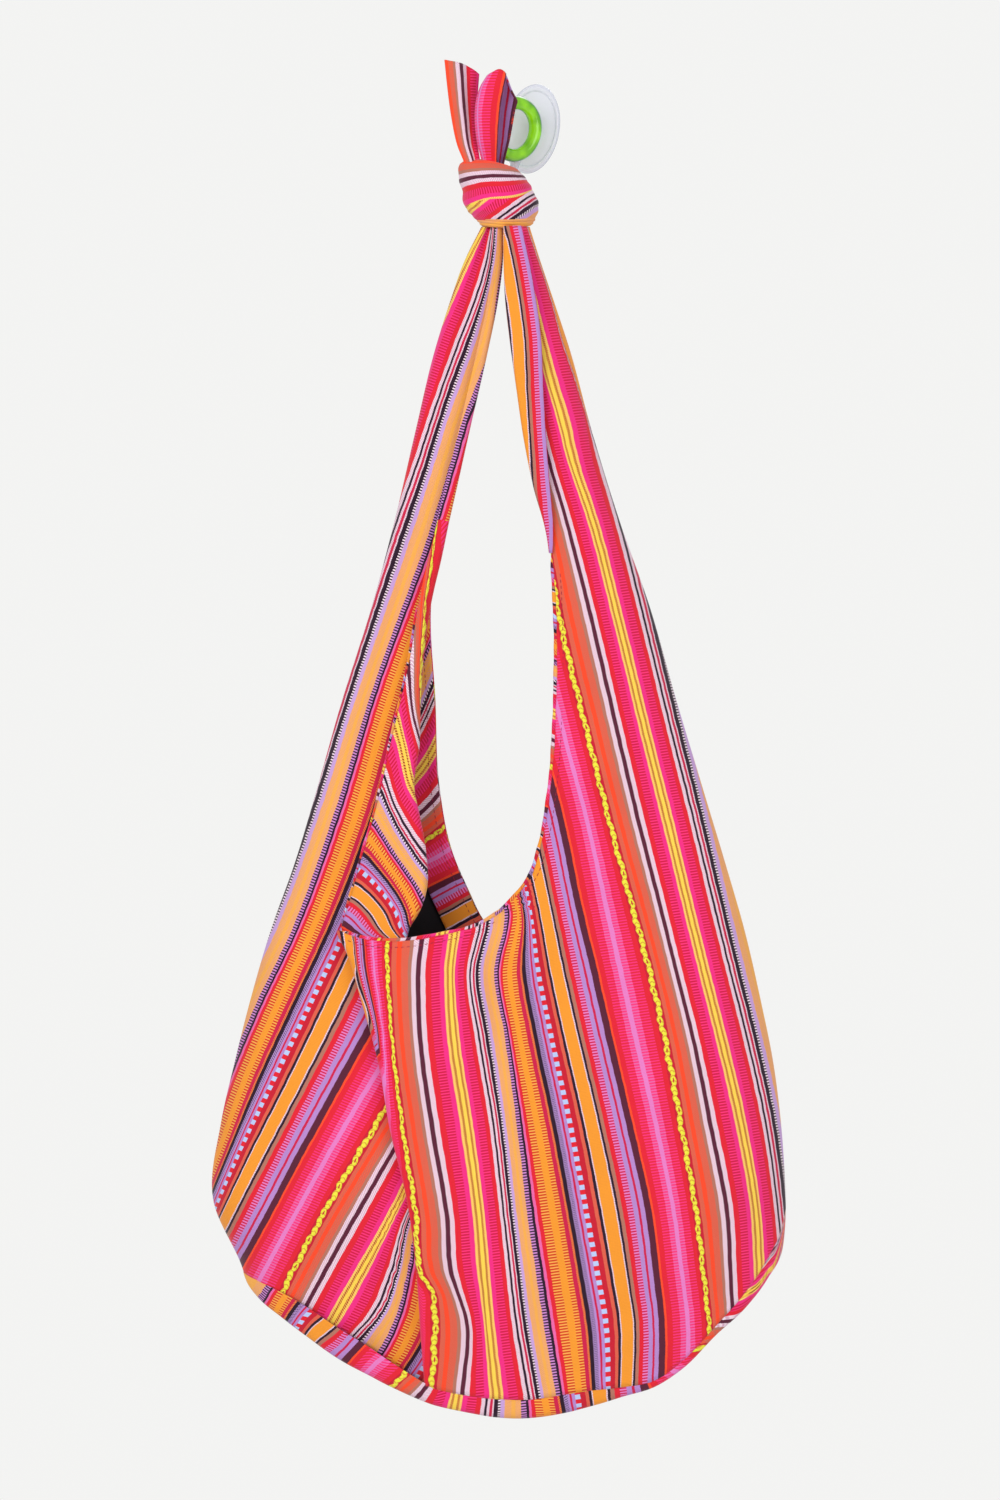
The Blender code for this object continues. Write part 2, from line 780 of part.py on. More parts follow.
def flap_facing(collection):
    """The facing that shows on the turned out flap of the left strap."""
    def hem(height):
        tuck = FLAP_FACING_TUCK * soft_step((CORNER_HEIGHT - height) / FLAP_FACING_TUCK_HEIGHT)
        return flap_edge(height) + FACING_HEM + tuck

    def fold(height):
        return inner_fold(height) + FACING_HEM

    def depth(across, height):
        return flap_depth(across, height) - FLAP_FACING_ROOM

    ends = (FLAP_FACING_LOW, CORNER_HEIGHT, FLAP_FACING_TOP)
    rows = (FLAP_FACING_LOW_ROWS, FACING_ROWS)
    lines = [cloth_line(hem, fold, part, ends, rows, depth) for part in even(FLAP_FACING_QUADS)]
    sheet = Sheet()
    sheet.skin(sheet.lines(lines))
    return sheet.finish("flap_facing", collection, FACING_COLOURS, THIN_SHEET)


def back_facing(collection):
    """The facing round the back mouth, a strip of even width along its hem."""
    heights = np.linspace(BACK_FACING_TOP, BACK_STRAP_START, FACING_ROWS + 1)
    left = [(float(back_mouth("left_edge", z)), z) for z in heights]
    right = [(float(back_mouth("right_edge", z)), z) for z in heights[::-1]]
    bottom = []
    for part in even(MOUTH_BOTTOM_STEPS)[1:-1]:
        across = left[-1][0] * (1.0 - part) + right[0][0] * part
        bottom.append((across, float(back_mouth_bottom(across))))
    hem = np.array(left + bottom + right)
    along = np.gradient(hem, axis=0)
    along /= np.linalg.norm(along, axis=1)[:, None]
    outward = np.column_stack([along[:, 1], -along[:, 0]])
    lines = []
    for part in even(BACK_FACING_QUADS):
        points = hem + outward * (FACING_HEM + FACING_WIDTH * part)
        across = np.clip(points[:, 0], left_side(points[:, 1]) + FACING_SIDE_ROOM,
                         right_side(points[:, 1]) - FACING_SIDE_ROOM)
        lines.append((across, back_depth(across, points[:, 1]) - FACING_ROOM, points[:, 1]))
    sheet = Sheet()
    sheet.skin(sheet.lines(lines))
    return sheet.finish("back_facing", collection, FACING_COLOURS, THIN_SHEET)


def knot(collection):
    """The two straps' wound knot, with the grooves between its turns."""
    heights = np.linspace(KNOT_BOTTOM, KNOT_TOP, KNOT_ROWS)
    mesh = bmesh.new()
    rings = []
    for height in heights:
        across = float(read(KNOT, KNOT_COLUMNS, "height", "across", height))
        half_width = float(read(KNOT, KNOT_COLUMNS, "height", "half_width", height))
        half_depth = float(read(KNOT, KNOT_COLUMNS, "height", "half_depth", height))
        ring = []
        for k in range(KNOT_SIDES):
            angle = 2.0 * math.pi * k / KNOT_SIDES
            size = 1.0
            for row in GROOVES:
                groove = dict(zip(GROOVE_COLUMNS, row))
                line = groove["height"] + groove["rise"] * math.cos(angle)
                size -= groove["depth"] * math.exp(-((height - line) / groove["half_width"]) ** 2)
            point = (across + size * half_width * math.cos(angle),
                     KNOT_DEPTH + size * half_depth * math.sin(angle), height)
            ring.append(mesh.verts.new(Vector(point) * MILLIMETRE))
        rings.append(ring)
    for lower, upper in zip(rings, rings[1:]):
        for k in range(KNOT_SIDES):
            after = (k + 1) % KNOT_SIDES
            mesh.faces.new((lower[k], lower[after], upper[after], upper[k]))
    mesh.faces.new(rings[0][::-1])
    mesh.faces.new(rings[-1])
    return new_object("knot", mesh, collection, KNOT_COLOURS, roughness=0.9)


def left_tail(collection):
    """The flat end of one strap, bent along its middle."""
    sheet = Sheet()
    rows = []
    heights = np.linspace(LEFT_TAIL[0][0], LEFT_TAIL[-1][0], TAIL_ROWS + 1)
    t = even(TAIL_QUADS)
    left, middle, right = (1 - t) ** 2, 2 * t * (1 - t), t**2
    for height in heights:
        section = {name: float(read(LEFT_TAIL, LEFT_TAIL_COLUMNS, "height", name, height))
                   for name in LEFT_TAIL_COLUMNS}
        across = left * section["x_left"] + middle * section["x_middle"] + right * section["x_right"]
        depth = left * section["y_left"] + middle * section["y_middle"] + right * section["y_right"]
        lift = LEFT_TAIL_RISE * (height - heights[0]) / (heights[-1] - heights[0])
        rows.append((across, depth, height + lift * left))
    sheet.skin(sheet.lines(rows))
    return sheet.finish("tail_left", collection, TAIL_COLOURS, TAIL_SHEET)


def right_tail(collection):
    """The rolled end of the other strap, open at its right."""
    sheet = Sheet()
    rows = []
    for height in np.linspace(RIGHT_TAIL[0][0], RIGHT_TAIL[-1][0], TAIL_ROWS + 1):
        section = {name: float(read(RIGHT_TAIL, RIGHT_TAIL_COLUMNS, "height", name, height))
                   for name in RIGHT_TAIL_COLUMNS}
        opening = math.radians(section["opening_deg"])
        angle = RIGHT_TAIL_FACES + opening / 2 + (2 * math.pi - opening) * even(2 * TAIL_QUADS)
        across = section["across"] + section["half_width"] * np.cos(angle)
        depth = section["depth"] + section["half_depth"] * np.sin(angle)
        rows.append((across, depth, np.full(len(angle), height)))
    sheet.skin(sheet.lines(rows))
    return sheet.finish("tail_right", collection, TAIL_COLOURS, TAIL_SHEET)


def hook_plate(collection):
    """The oval wall plate with its raised rim, turned and then drawn out to an oval."""
    mesh = bmesh.new()
    points = [mesh.verts.new((radius, 0.0, depth)) for radius, depth in PLATE_PROFILE]
    for first, second in zip(points, points[1:]):
        mesh.edges.new((first, second))
    bmesh.ops.spin(mesh, geom=mesh.verts[:] + mesh.edges[:], cent=(0, 0, 0), axis=(0, 0, 1),
                   angle=2 * math.pi, steps=PLATE_SIDES, use_merge=True)
    bmesh.ops.remove_doubles(mesh, verts=mesh.verts, dist=1e-5)
    bmesh.ops.scale(mesh, verts=mesh.verts,
                    vec=(PLATE_HALF_WIDTH * MILLIMETRE, PLATE_HALF_HEIGHT * MILLIMETRE, MILLIMETRE))
    stand_up = Matrix.Rotation(math.radians(90.0), 4, "X")
    lean = Matrix.Rotation(PLATE_LEAN, 4, "Y")
    bmesh.ops.transform(mesh, matrix=lean @ stand_up, verts=mesh.verts)
    bmesh.ops.recalc_face_normals(mesh, faces=mesh.faces)
    return new_object("hook_plate", mesh, collection, PLATE_COLOURS, roughness=0.15)


def joined(target, tool):
    """Union a second object into the first and remove it."""
    union = target.modifiers.new(tool.name, "BOOLEAN")
    union.operation = "UNION"
    union.object = tool
    graph = bpy.context.evaluated_depsgraph_get()
    data = bpy.data.meshes.new_from_object(target.evaluated_get(graph))
    target.modifiers.clear()
    target.data = data
    bpy.data.objects.remove(tool)


def arm_mesh():
    """The arm as a closed tube along its route."""
    curve = bpy.data.curves.new("arm", "CURVE")
    curve.dimensions = "3D"
    curve.bevel_depth = ARM_RADIUS * MILLIMETRE
    curve.bevel_resolution = 2
    curve.use_fill_caps = True
    route = np.array(ARM_ROUTE)
    along = np.arange(len(route))
    at = np.linspace(0, len(route) - 1, ARM_POINTS)
    places = np.column_stack([smooth_curve(along, values, at) for values in route.T])
    spline = curve.splines.new("POLY")
    spline.points.add(ARM_POINTS - 1)
    for point, place in zip(spline.points, places):
        point.co = (*(Vector(place) * MILLIMETRE), 1.0)
    guide = bpy.data.objects.new("arm", curve)
    bpy.context.scene.collection.objects.link(guide)
    graph = bpy.context.evaluated_depsgraph_get()
    mesh = bmesh.new()
    data = bpy.data.meshes.new_from_object(guide.evaluated_get(graph))
    mesh.from_mesh(data)
    bmesh.ops.remove_doubles(mesh, verts=mesh.verts, dist=1e-6)
    bmesh.ops.recalc_face_normals(mesh, faces=mesh.faces)
    bpy.data.objects.remove(guide)
    bpy.data.meshes.remove(data)
    return mesh


def hook_ring(collection):
    """The ring, its stub on the plate and the arm that carries the knot."""
    bpy.ops.mesh.primitive_torus_add(major_radius=RING_RADIUS * MILLIMETRE,
                                     minor_radius=RING_TUBE * MILLIMETRE,
                                     major_segments=RING_SIDES, minor_segments=RING_TUBE_SIDES)
    ring = bpy.context.object
    ring.name = "hook_ring"
    ring.data.name = "hook_ring"
    stand_up = Matrix.Rotation(math.radians(90.0), 4, "X")
    turned = Matrix.Rotation(RING_TURN, 4, "Z")
    lean = Matrix.Rotation(RING_LEAN, 4, "Y")
    place = Matrix.Translation(Vector(RING_MIDDLE) * MILLIMETRE)
    ring.data.transform(place @ lean @ turned @ stand_up)
    ring.data.materials.append(new_material("hook_ring", RING_COLOURS, roughness=0.15))
    for owner in ring.users_collection:
        owner.objects.unlink(ring)
    collection.objects.link(ring)

    length = STUB_DEPTH - PLATE_BASE - PIECE_GAP
    stub = bmesh.new()
    bmesh.ops.create_cone(stub, cap_ends=True, segments=STUB_SIDES, radius1=STUB_RADIUS * MILLIMETRE,
                          radius2=STUB_RADIUS * MILLIMETRE, depth=length * MILLIMETRE, matrix=stand_up)
    middle = -(PLATE_BASE + PIECE_GAP + length / 2)
    shift = Vector((STUB_PLACE[0], middle, STUB_PLACE[1])) * MILLIMETRE
    bmesh.ops.translate(stub, verts=stub.verts, vec=shift)
    for name, mesh in (("ring_stub", stub), ("ring_arm", arm_mesh())):
        joined(ring, new_object(name, mesh, collection, RING_COLOURS, roughness=0.15))
    ring.data.shade_smooth()
    return ring


def main():
    for old in list(bpy.data.objects):
        bpy.data.objects.remove(old)
    collection = bpy.data.collections.new("striped_sling_bag")
    bpy.context.scene.collection.children.link(collection)
    for piece in (front_panel, back_panel, base_panel, lining, flap_facing, back_facing,
                  knot, left_tail, right_tail, hook_plate, hook_ring):
        piece(collection)


main()
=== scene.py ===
"""Looks of the striped cotton sling bag that hangs, knotted, on its ring hook.

Lengths are millimetres until a mesh is made, and then metres.  X runs to the
right, Y into the wall and Z up, from the middle of the hook plate's back face.
Each cloth is a grid of points worked out as whole arrays, and carries two cloth
coordinates: one across its stripes and one along them, both in stripe repeats.
"""

import logging
import math
from dataclasses import dataclass
from enum import Enum
from typing import Callable, Sequence

import bmesh
import bpy
import numpy as np
from mathutils import Matrix, Vector


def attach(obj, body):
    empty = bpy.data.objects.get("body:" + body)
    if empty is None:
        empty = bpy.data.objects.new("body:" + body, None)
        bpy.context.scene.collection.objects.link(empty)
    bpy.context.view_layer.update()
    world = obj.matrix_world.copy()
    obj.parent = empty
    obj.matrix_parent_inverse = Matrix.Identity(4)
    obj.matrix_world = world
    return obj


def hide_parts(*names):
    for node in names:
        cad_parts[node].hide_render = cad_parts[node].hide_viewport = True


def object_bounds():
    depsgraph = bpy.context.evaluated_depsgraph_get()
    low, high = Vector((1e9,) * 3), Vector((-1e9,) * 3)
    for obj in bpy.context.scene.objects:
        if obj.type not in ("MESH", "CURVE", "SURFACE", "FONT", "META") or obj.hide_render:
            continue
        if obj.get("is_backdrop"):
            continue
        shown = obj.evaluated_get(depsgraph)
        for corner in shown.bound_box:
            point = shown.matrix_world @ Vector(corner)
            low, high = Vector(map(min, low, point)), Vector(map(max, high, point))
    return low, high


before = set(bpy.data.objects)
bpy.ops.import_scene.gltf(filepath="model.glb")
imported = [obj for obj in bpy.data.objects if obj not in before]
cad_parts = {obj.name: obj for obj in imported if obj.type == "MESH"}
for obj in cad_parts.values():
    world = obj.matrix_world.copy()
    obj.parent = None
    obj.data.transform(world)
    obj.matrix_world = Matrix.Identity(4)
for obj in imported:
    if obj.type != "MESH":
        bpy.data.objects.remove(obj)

MILLIMETRE = 0.001
Array = np.ndarray
Curve = Callable[[Array], Array]
Depth = Callable[[Array, Array], Array]
LOG = logging.getLogger("sling_bag")


# Small tools for numbers

def even(count: int) -> Array:
    """Fractions from 0 to 1 in equal steps."""
    return np.linspace(0.0, 1.0, count + 1)


def dense_start(count: int) -> Array:
    """Fractions from 0 to 1 that are closer at the start, by a cosine."""
    return 1.0 - np.cos(0.5 * math.pi * even(count))


def dense_end(count: int) -> Array:
    """Fractions from 0 to 1 that are closer at the end, by a sine."""
    return np.sin(0.5 * math.pi * even(count))


def soft_step(t: Array) -> Array:
    """Rise from 0 to 1 as 3t² - 2t³, level at both ends."""
    t = np.clip(t, 0.0, 1.0)
    return t * t * (3.0 - 2.0 * t)


def hump(t: Array) -> Array:
    """A bell that is 1 at 0 and fades to nothing by about 2, as exp(-t²)."""
    return np.exp(-np.asarray(t) ** 2)


def quarter_round(distance: Array, radius: Array) -> Array:
    """Rise from 0 to 1 over a radius as a quarter circle, upright at its start."""
    t = np.clip(distance / radius, 0.0, 1.0)
    return np.sqrt(1.0 - (1.0 - t) ** 2)


def smooth_curve(keys: Array, values: Array, at: Array) -> Array:
    """Read a smooth curve through the values, by cubic Hermite pieces.

    Args:
        keys: where the values lie, rising or falling.
        values: the values.
        at: where to read the curve.

    Returns:
        The curve's values, held level past both ends.
    """
    order = np.argsort(keys)
    keys = np.asarray(keys, dtype=float)[order]
    values = np.asarray(values, dtype=float)[order]
    at = np.clip(np.asarray(at, dtype=float), keys[0], keys[-1])
    slopes = np.gradient(values, keys)
    index = np.clip(np.searchsorted(keys, at, side="right") - 1, 0, len(keys) - 2)
    span = keys[index + 1] - keys[index]
    t = (at - keys[index]) / span
    return ((2 * t**3 - 3 * t**2 + 1) * values[index]
            + (t**3 - 2 * t**2 + t) * span * slopes[index]
            + (3 * t**2 - 2 * t**3) * values[index + 1]
            + (t**3 - t**2) * span * slopes[index + 1])


@dataclass(frozen=True)
class Table:
    """Sizes by name, with a row for each station of the first column."""

    columns: tuple[str, ...]
    rows: tuple[tuple[float, ...], ...]

    def column(self, name: str) -> Array:
        """One named column."""
        return np.array([row[self.columns.index(name)] for row in self.rows], dtype=float)

    def curve(self, name: str, at: Array) -> Array:
        """A named column read smoothly at values of the first column."""
        return smooth_curve(self.column(self.columns[0]), self.column(name), at)


# The striped cotton

class Weave(Enum):
    """How the second colour of a stripe lies on its ground."""

    PLAIN = (0.0, 0.0, 0.0, 0.0)
    BARS = (1.0, 0.0, 0.0, 0.0)
    TWIST = (0.0, 1.0, 0.0, 0.0)
    SQUARES = (0.0, 0.0, 1.0, 0.0)
    CHAIN = (0.0, 0.0, 0.0, 1.0)


class Dye(Enum):
    """Yarn colours, as red, green and blue from 0 to 255."""

    CHAIN_YELLOW = (246, 238, 66)
    YELLOW = (255, 216, 82)
    PALE_YELLOW = (255, 228, 120)
    GOLD = (250, 176, 80)
    AMBER = (250, 156, 46)
    PEACH = (238, 164, 130)
    BURNT = (218, 50, 22)
    CORAL = (240, 92, 62)
    PALE_CORAL = (214, 104, 86)
    BRIGHT_CORAL = (255, 76, 40)
    TAUPE = (184, 118, 100)
    WHITE = (250, 228, 240)
    ROSE_WHITE = (222, 176, 200)
    RED = (232, 32, 52)
    DEEP_RED = (205, 26, 50)
    CRIMSON = (210, 28, 74)
    ROSE = (214, 10, 62)
    ROSE_LIGHT = (250, 52, 124)
    HOT_PINK = (246, 44, 134)
    PINK = (240, 104, 172)
    LIGHT_PINK = (236, 128, 200)
    ORCHID = (214, 142, 214)
    LAVENDER = (186, 138, 208)
    PALE_LAVENDER = (204, 162, 222)
    SKY = (190, 208, 250)
    NAVY = (58, 44, 96)
    MAROON = (92, 30, 54)
    BLACK = (42, 16, 40)
    RUST = (150, 42, 24)

    def linear(self) -> tuple[float, float, float, float]:
        """The colour as the shader's linear numbers, by the sRGB curve."""
        shares = [value / 255 for value in self.value]
        parts = [s / 12.92 if s <= 0.04045 else ((s + 0.055) / 1.055) ** 2.4 for s in shares]
        return (parts[0], parts[1], parts[2], 1.0)


@dataclass(frozen=True)
class Stripe:
    """One stripe of the chart: its width, its two yarns, its weave and its name."""

    width: float
    ground: Dye
    accent: Dye
    weave: Weave = Weave.PLAIN
    name: str = ""


def plain(width: float, dye: Dye, name: str = "") -> Stripe:
    """A stripe of one colour."""
    return Stripe(width, dye, dye, Weave.PLAIN, name)


def bars(width: float, ground: Dye, accent: Dye, name: str = "") -> Stripe:
    """A stripe of short bars across it."""
    return Stripe(width, ground, accent, Weave.BARS, name)


def twist(width: float, ground: Dye, accent: Dye, name: str = "") -> Stripe:
    """A stripe of slanted stitches, like a laid cord."""
    return Stripe(width, ground, accent, Weave.TWIST, name)


@dataclass(frozen=True)
class StripeChart:
    """The order of the stripes in one repeat of the cloth, from left to right."""

    stripes: tuple[Stripe, ...] = (
        Stripe(5.0, Dye.DEEP_RED, Dye.CHAIN_YELLOW, Weave.CHAIN, "chain"),
        twist(3.2, Dye.PALE_CORAL, Dye.CORAL),
        plain(2.7, Dye.BRIGHT_CORAL),
        twist(4.1, Dye.CORAL, Dye.PALE_CORAL),
        plain(2.2, Dye.TAUPE),
        twist(2.6, Dye.WHITE, Dye.ROSE_WHITE),
        plain(3.0, Dye.MAROON, "white and maroon"),
        twist(2.5, Dye.WHITE, Dye.ROSE_WHITE),
        plain(3.2, Dye.RED),
        bars(5.2, Dye.ROSE_LIGHT, Dye.ROSE),
        plain(2.6, Dye.HOT_PINK),
        twist(1.3, Dye.PALE_YELLOW, Dye.GOLD),
        twist(1.3, Dye.RUST, Dye.GOLD),
        plain(2.3, Dye.YELLOW, "yellow"),
        twist(1.3, Dye.RUST, Dye.GOLD),
        twist(1.5, Dye.PALE_YELLOW, Dye.GOLD),
        plain(2.8, Dye.HOT_PINK),
        bars(4.7, Dye.ROSE_LIGHT, Dye.ROSE),
        plain(2.8, Dye.RED, "red"),
        twist(2.1, Dye.WHITE, Dye.ROSE_WHITE),
        plain(1.7, Dye.BLACK),
        twist(1.0, Dye.WHITE, Dye.ROSE_WHITE),
        plain(1.6, Dye.CRIMSON, "black and white"),
        twist(1.1, Dye.WHITE, Dye.ROSE_WHITE),
        plain(1.6, Dye.BLACK),
        bars(1.7, Dye.WHITE, Dye.BLACK),
        plain(2.2, Dye.PALE_LAVENDER),
        twist(3.0, Dye.PEACH, Dye.GOLD),
        plain(2.1, Dye.GOLD, "peach"),
        twist(2.8, Dye.PEACH, Dye.GOLD),
        bars(3.0, Dye.ORCHID, Dye.BLACK, "purple bars"),
        plain(1.5, Dye.BLACK),
        plain(0.9, Dye.PINK),
        plain(2.2, Dye.RED),
        bars(4.2, Dye.GOLD, Dye.BURNT),
        plain(4.1, Dye.AMBER, "orange bars"),
        bars(4.0, Dye.GOLD, Dye.BURNT),
        plain(2.7, Dye.CRIMSON),
        twist(1.4, Dye.AMBER, Dye.CRIMSON),
        plain(2.8, Dye.BLACK),
        twist(1.2, Dye.PALE_LAVENDER, Dye.NAVY),
        twist(1.0, Dye.NAVY, Dye.PALE_LAVENDER),
        plain(2.0, Dye.LAVENDER),
        plain(1.2, Dye.CRIMSON),
        plain(2.1, Dye.LAVENDER),
        Stripe(3.6, Dye.RED, Dye.SKY, Weave.SQUARES, "squares"),
        plain(3.0, Dye.DEEP_RED),
        twist(2.9, Dye.PALE_CORAL, Dye.CORAL),
        plain(1.4, Dye.BLACK),
        twist(0.9, Dye.WHITE, Dye.ROSE_WHITE),
        plain(7.5, Dye.AMBER, "orange"),
        twist(0.9, Dye.WHITE, Dye.ROSE_WHITE),
        plain(1.3, Dye.BLACK),
        plain(2.0, Dye.TAUPE),
        plain(2.5, Dye.RED),
        bars(3.9, Dye.LIGHT_PINK, Dye.CRIMSON),
        plain(2.7, Dye.LAVENDER),
        plain(1.2, Dye.CRIMSON),
        plain(3.1, Dye.LAVENDER),
        plain(4.1, Dye.MAROON, "maroon"),
        plain(1.1, Dye.BRIGHT_CORAL),
        plain(3.4, Dye.RED),
        bars(5.3, Dye.ROSE_LIGHT, Dye.RED),
        bars(3.1, Dye.PINK, Dye.ROSE_LIGHT),
        plain(3.0, Dye.LIGHT_PINK, "pink"),
        bars(3.6, Dye.PINK, Dye.ROSE_LIGHT),
        bars(4.8, Dye.ROSE_LIGHT, Dye.RED),
        plain(3.0, Dye.RED),
    )

    def repeat(self) -> float:
        """Width of one repeat."""
        return sum(stripe.width for stripe in self.stripes)

    def starts(self) -> Array:
        """Where each stripe starts, as a share of the repeat."""
        widths = np.array([stripe.width for stripe in self.stripes])
        return (np.cumsum(widths) - widths) / self.repeat()

    def place(self, name: str, turn: int) -> float:
        """Middle of a named stripe in the given repeat, in millimetres."""
        index = [stripe.name for stripe in self.stripes].index(name)
        before = sum(stripe.width for stripe in self.stripes[:index])
        return turn * self.repeat() + before + self.stripes[index].width / 2


CHART = StripeChart()


@dataclass(frozen=True)
class StripeLines:
    """Where named stripes run over one layer of cloth.

    stripes holds a name and a repeat for each line, and rows a height with
    each line's place across the bag at that height.  Each line is kept at
    least least_gap beyond the one before it.
    """

    stripes: tuple[tuple[str, int], ...]
    rows: tuple[tuple[float, ...], ...]
    least_gap: float = 0.3

    def coordinate(self, across: Array, height: Array) -> Array:
        """Read the stripe coordinate by straight lines between neighbouring stripes.

        Args:
            across: places across the bag.
            height: their heights.

        Returns:
            Millimetres across the cloth, at its true width outside the lines.
        """
        table = np.array(self.rows)
        values = np.array([CHART.place(name, turn) for name, turn in self.stripes])
        lines = [smooth_curve(table[:, 0], table[:, 1], height)]
        for k in range(1, len(values)):
            line = smooth_curve(table[:, 0], table[:, k + 1], height)
            lines.append(np.maximum(line, lines[-1] + self.least_gap))
        total = values[0] + np.minimum(across - lines[0], 0.0) + np.maximum(across - lines[-1], 0.0)
        for k in range(len(values) - 1):
            share = np.clip((across - lines[k]) / (lines[k + 1] - lines[k]), 0.0, 1.0)
            total = total + (values[k + 1] - values[k]) * share
        return total


# The bag's shape

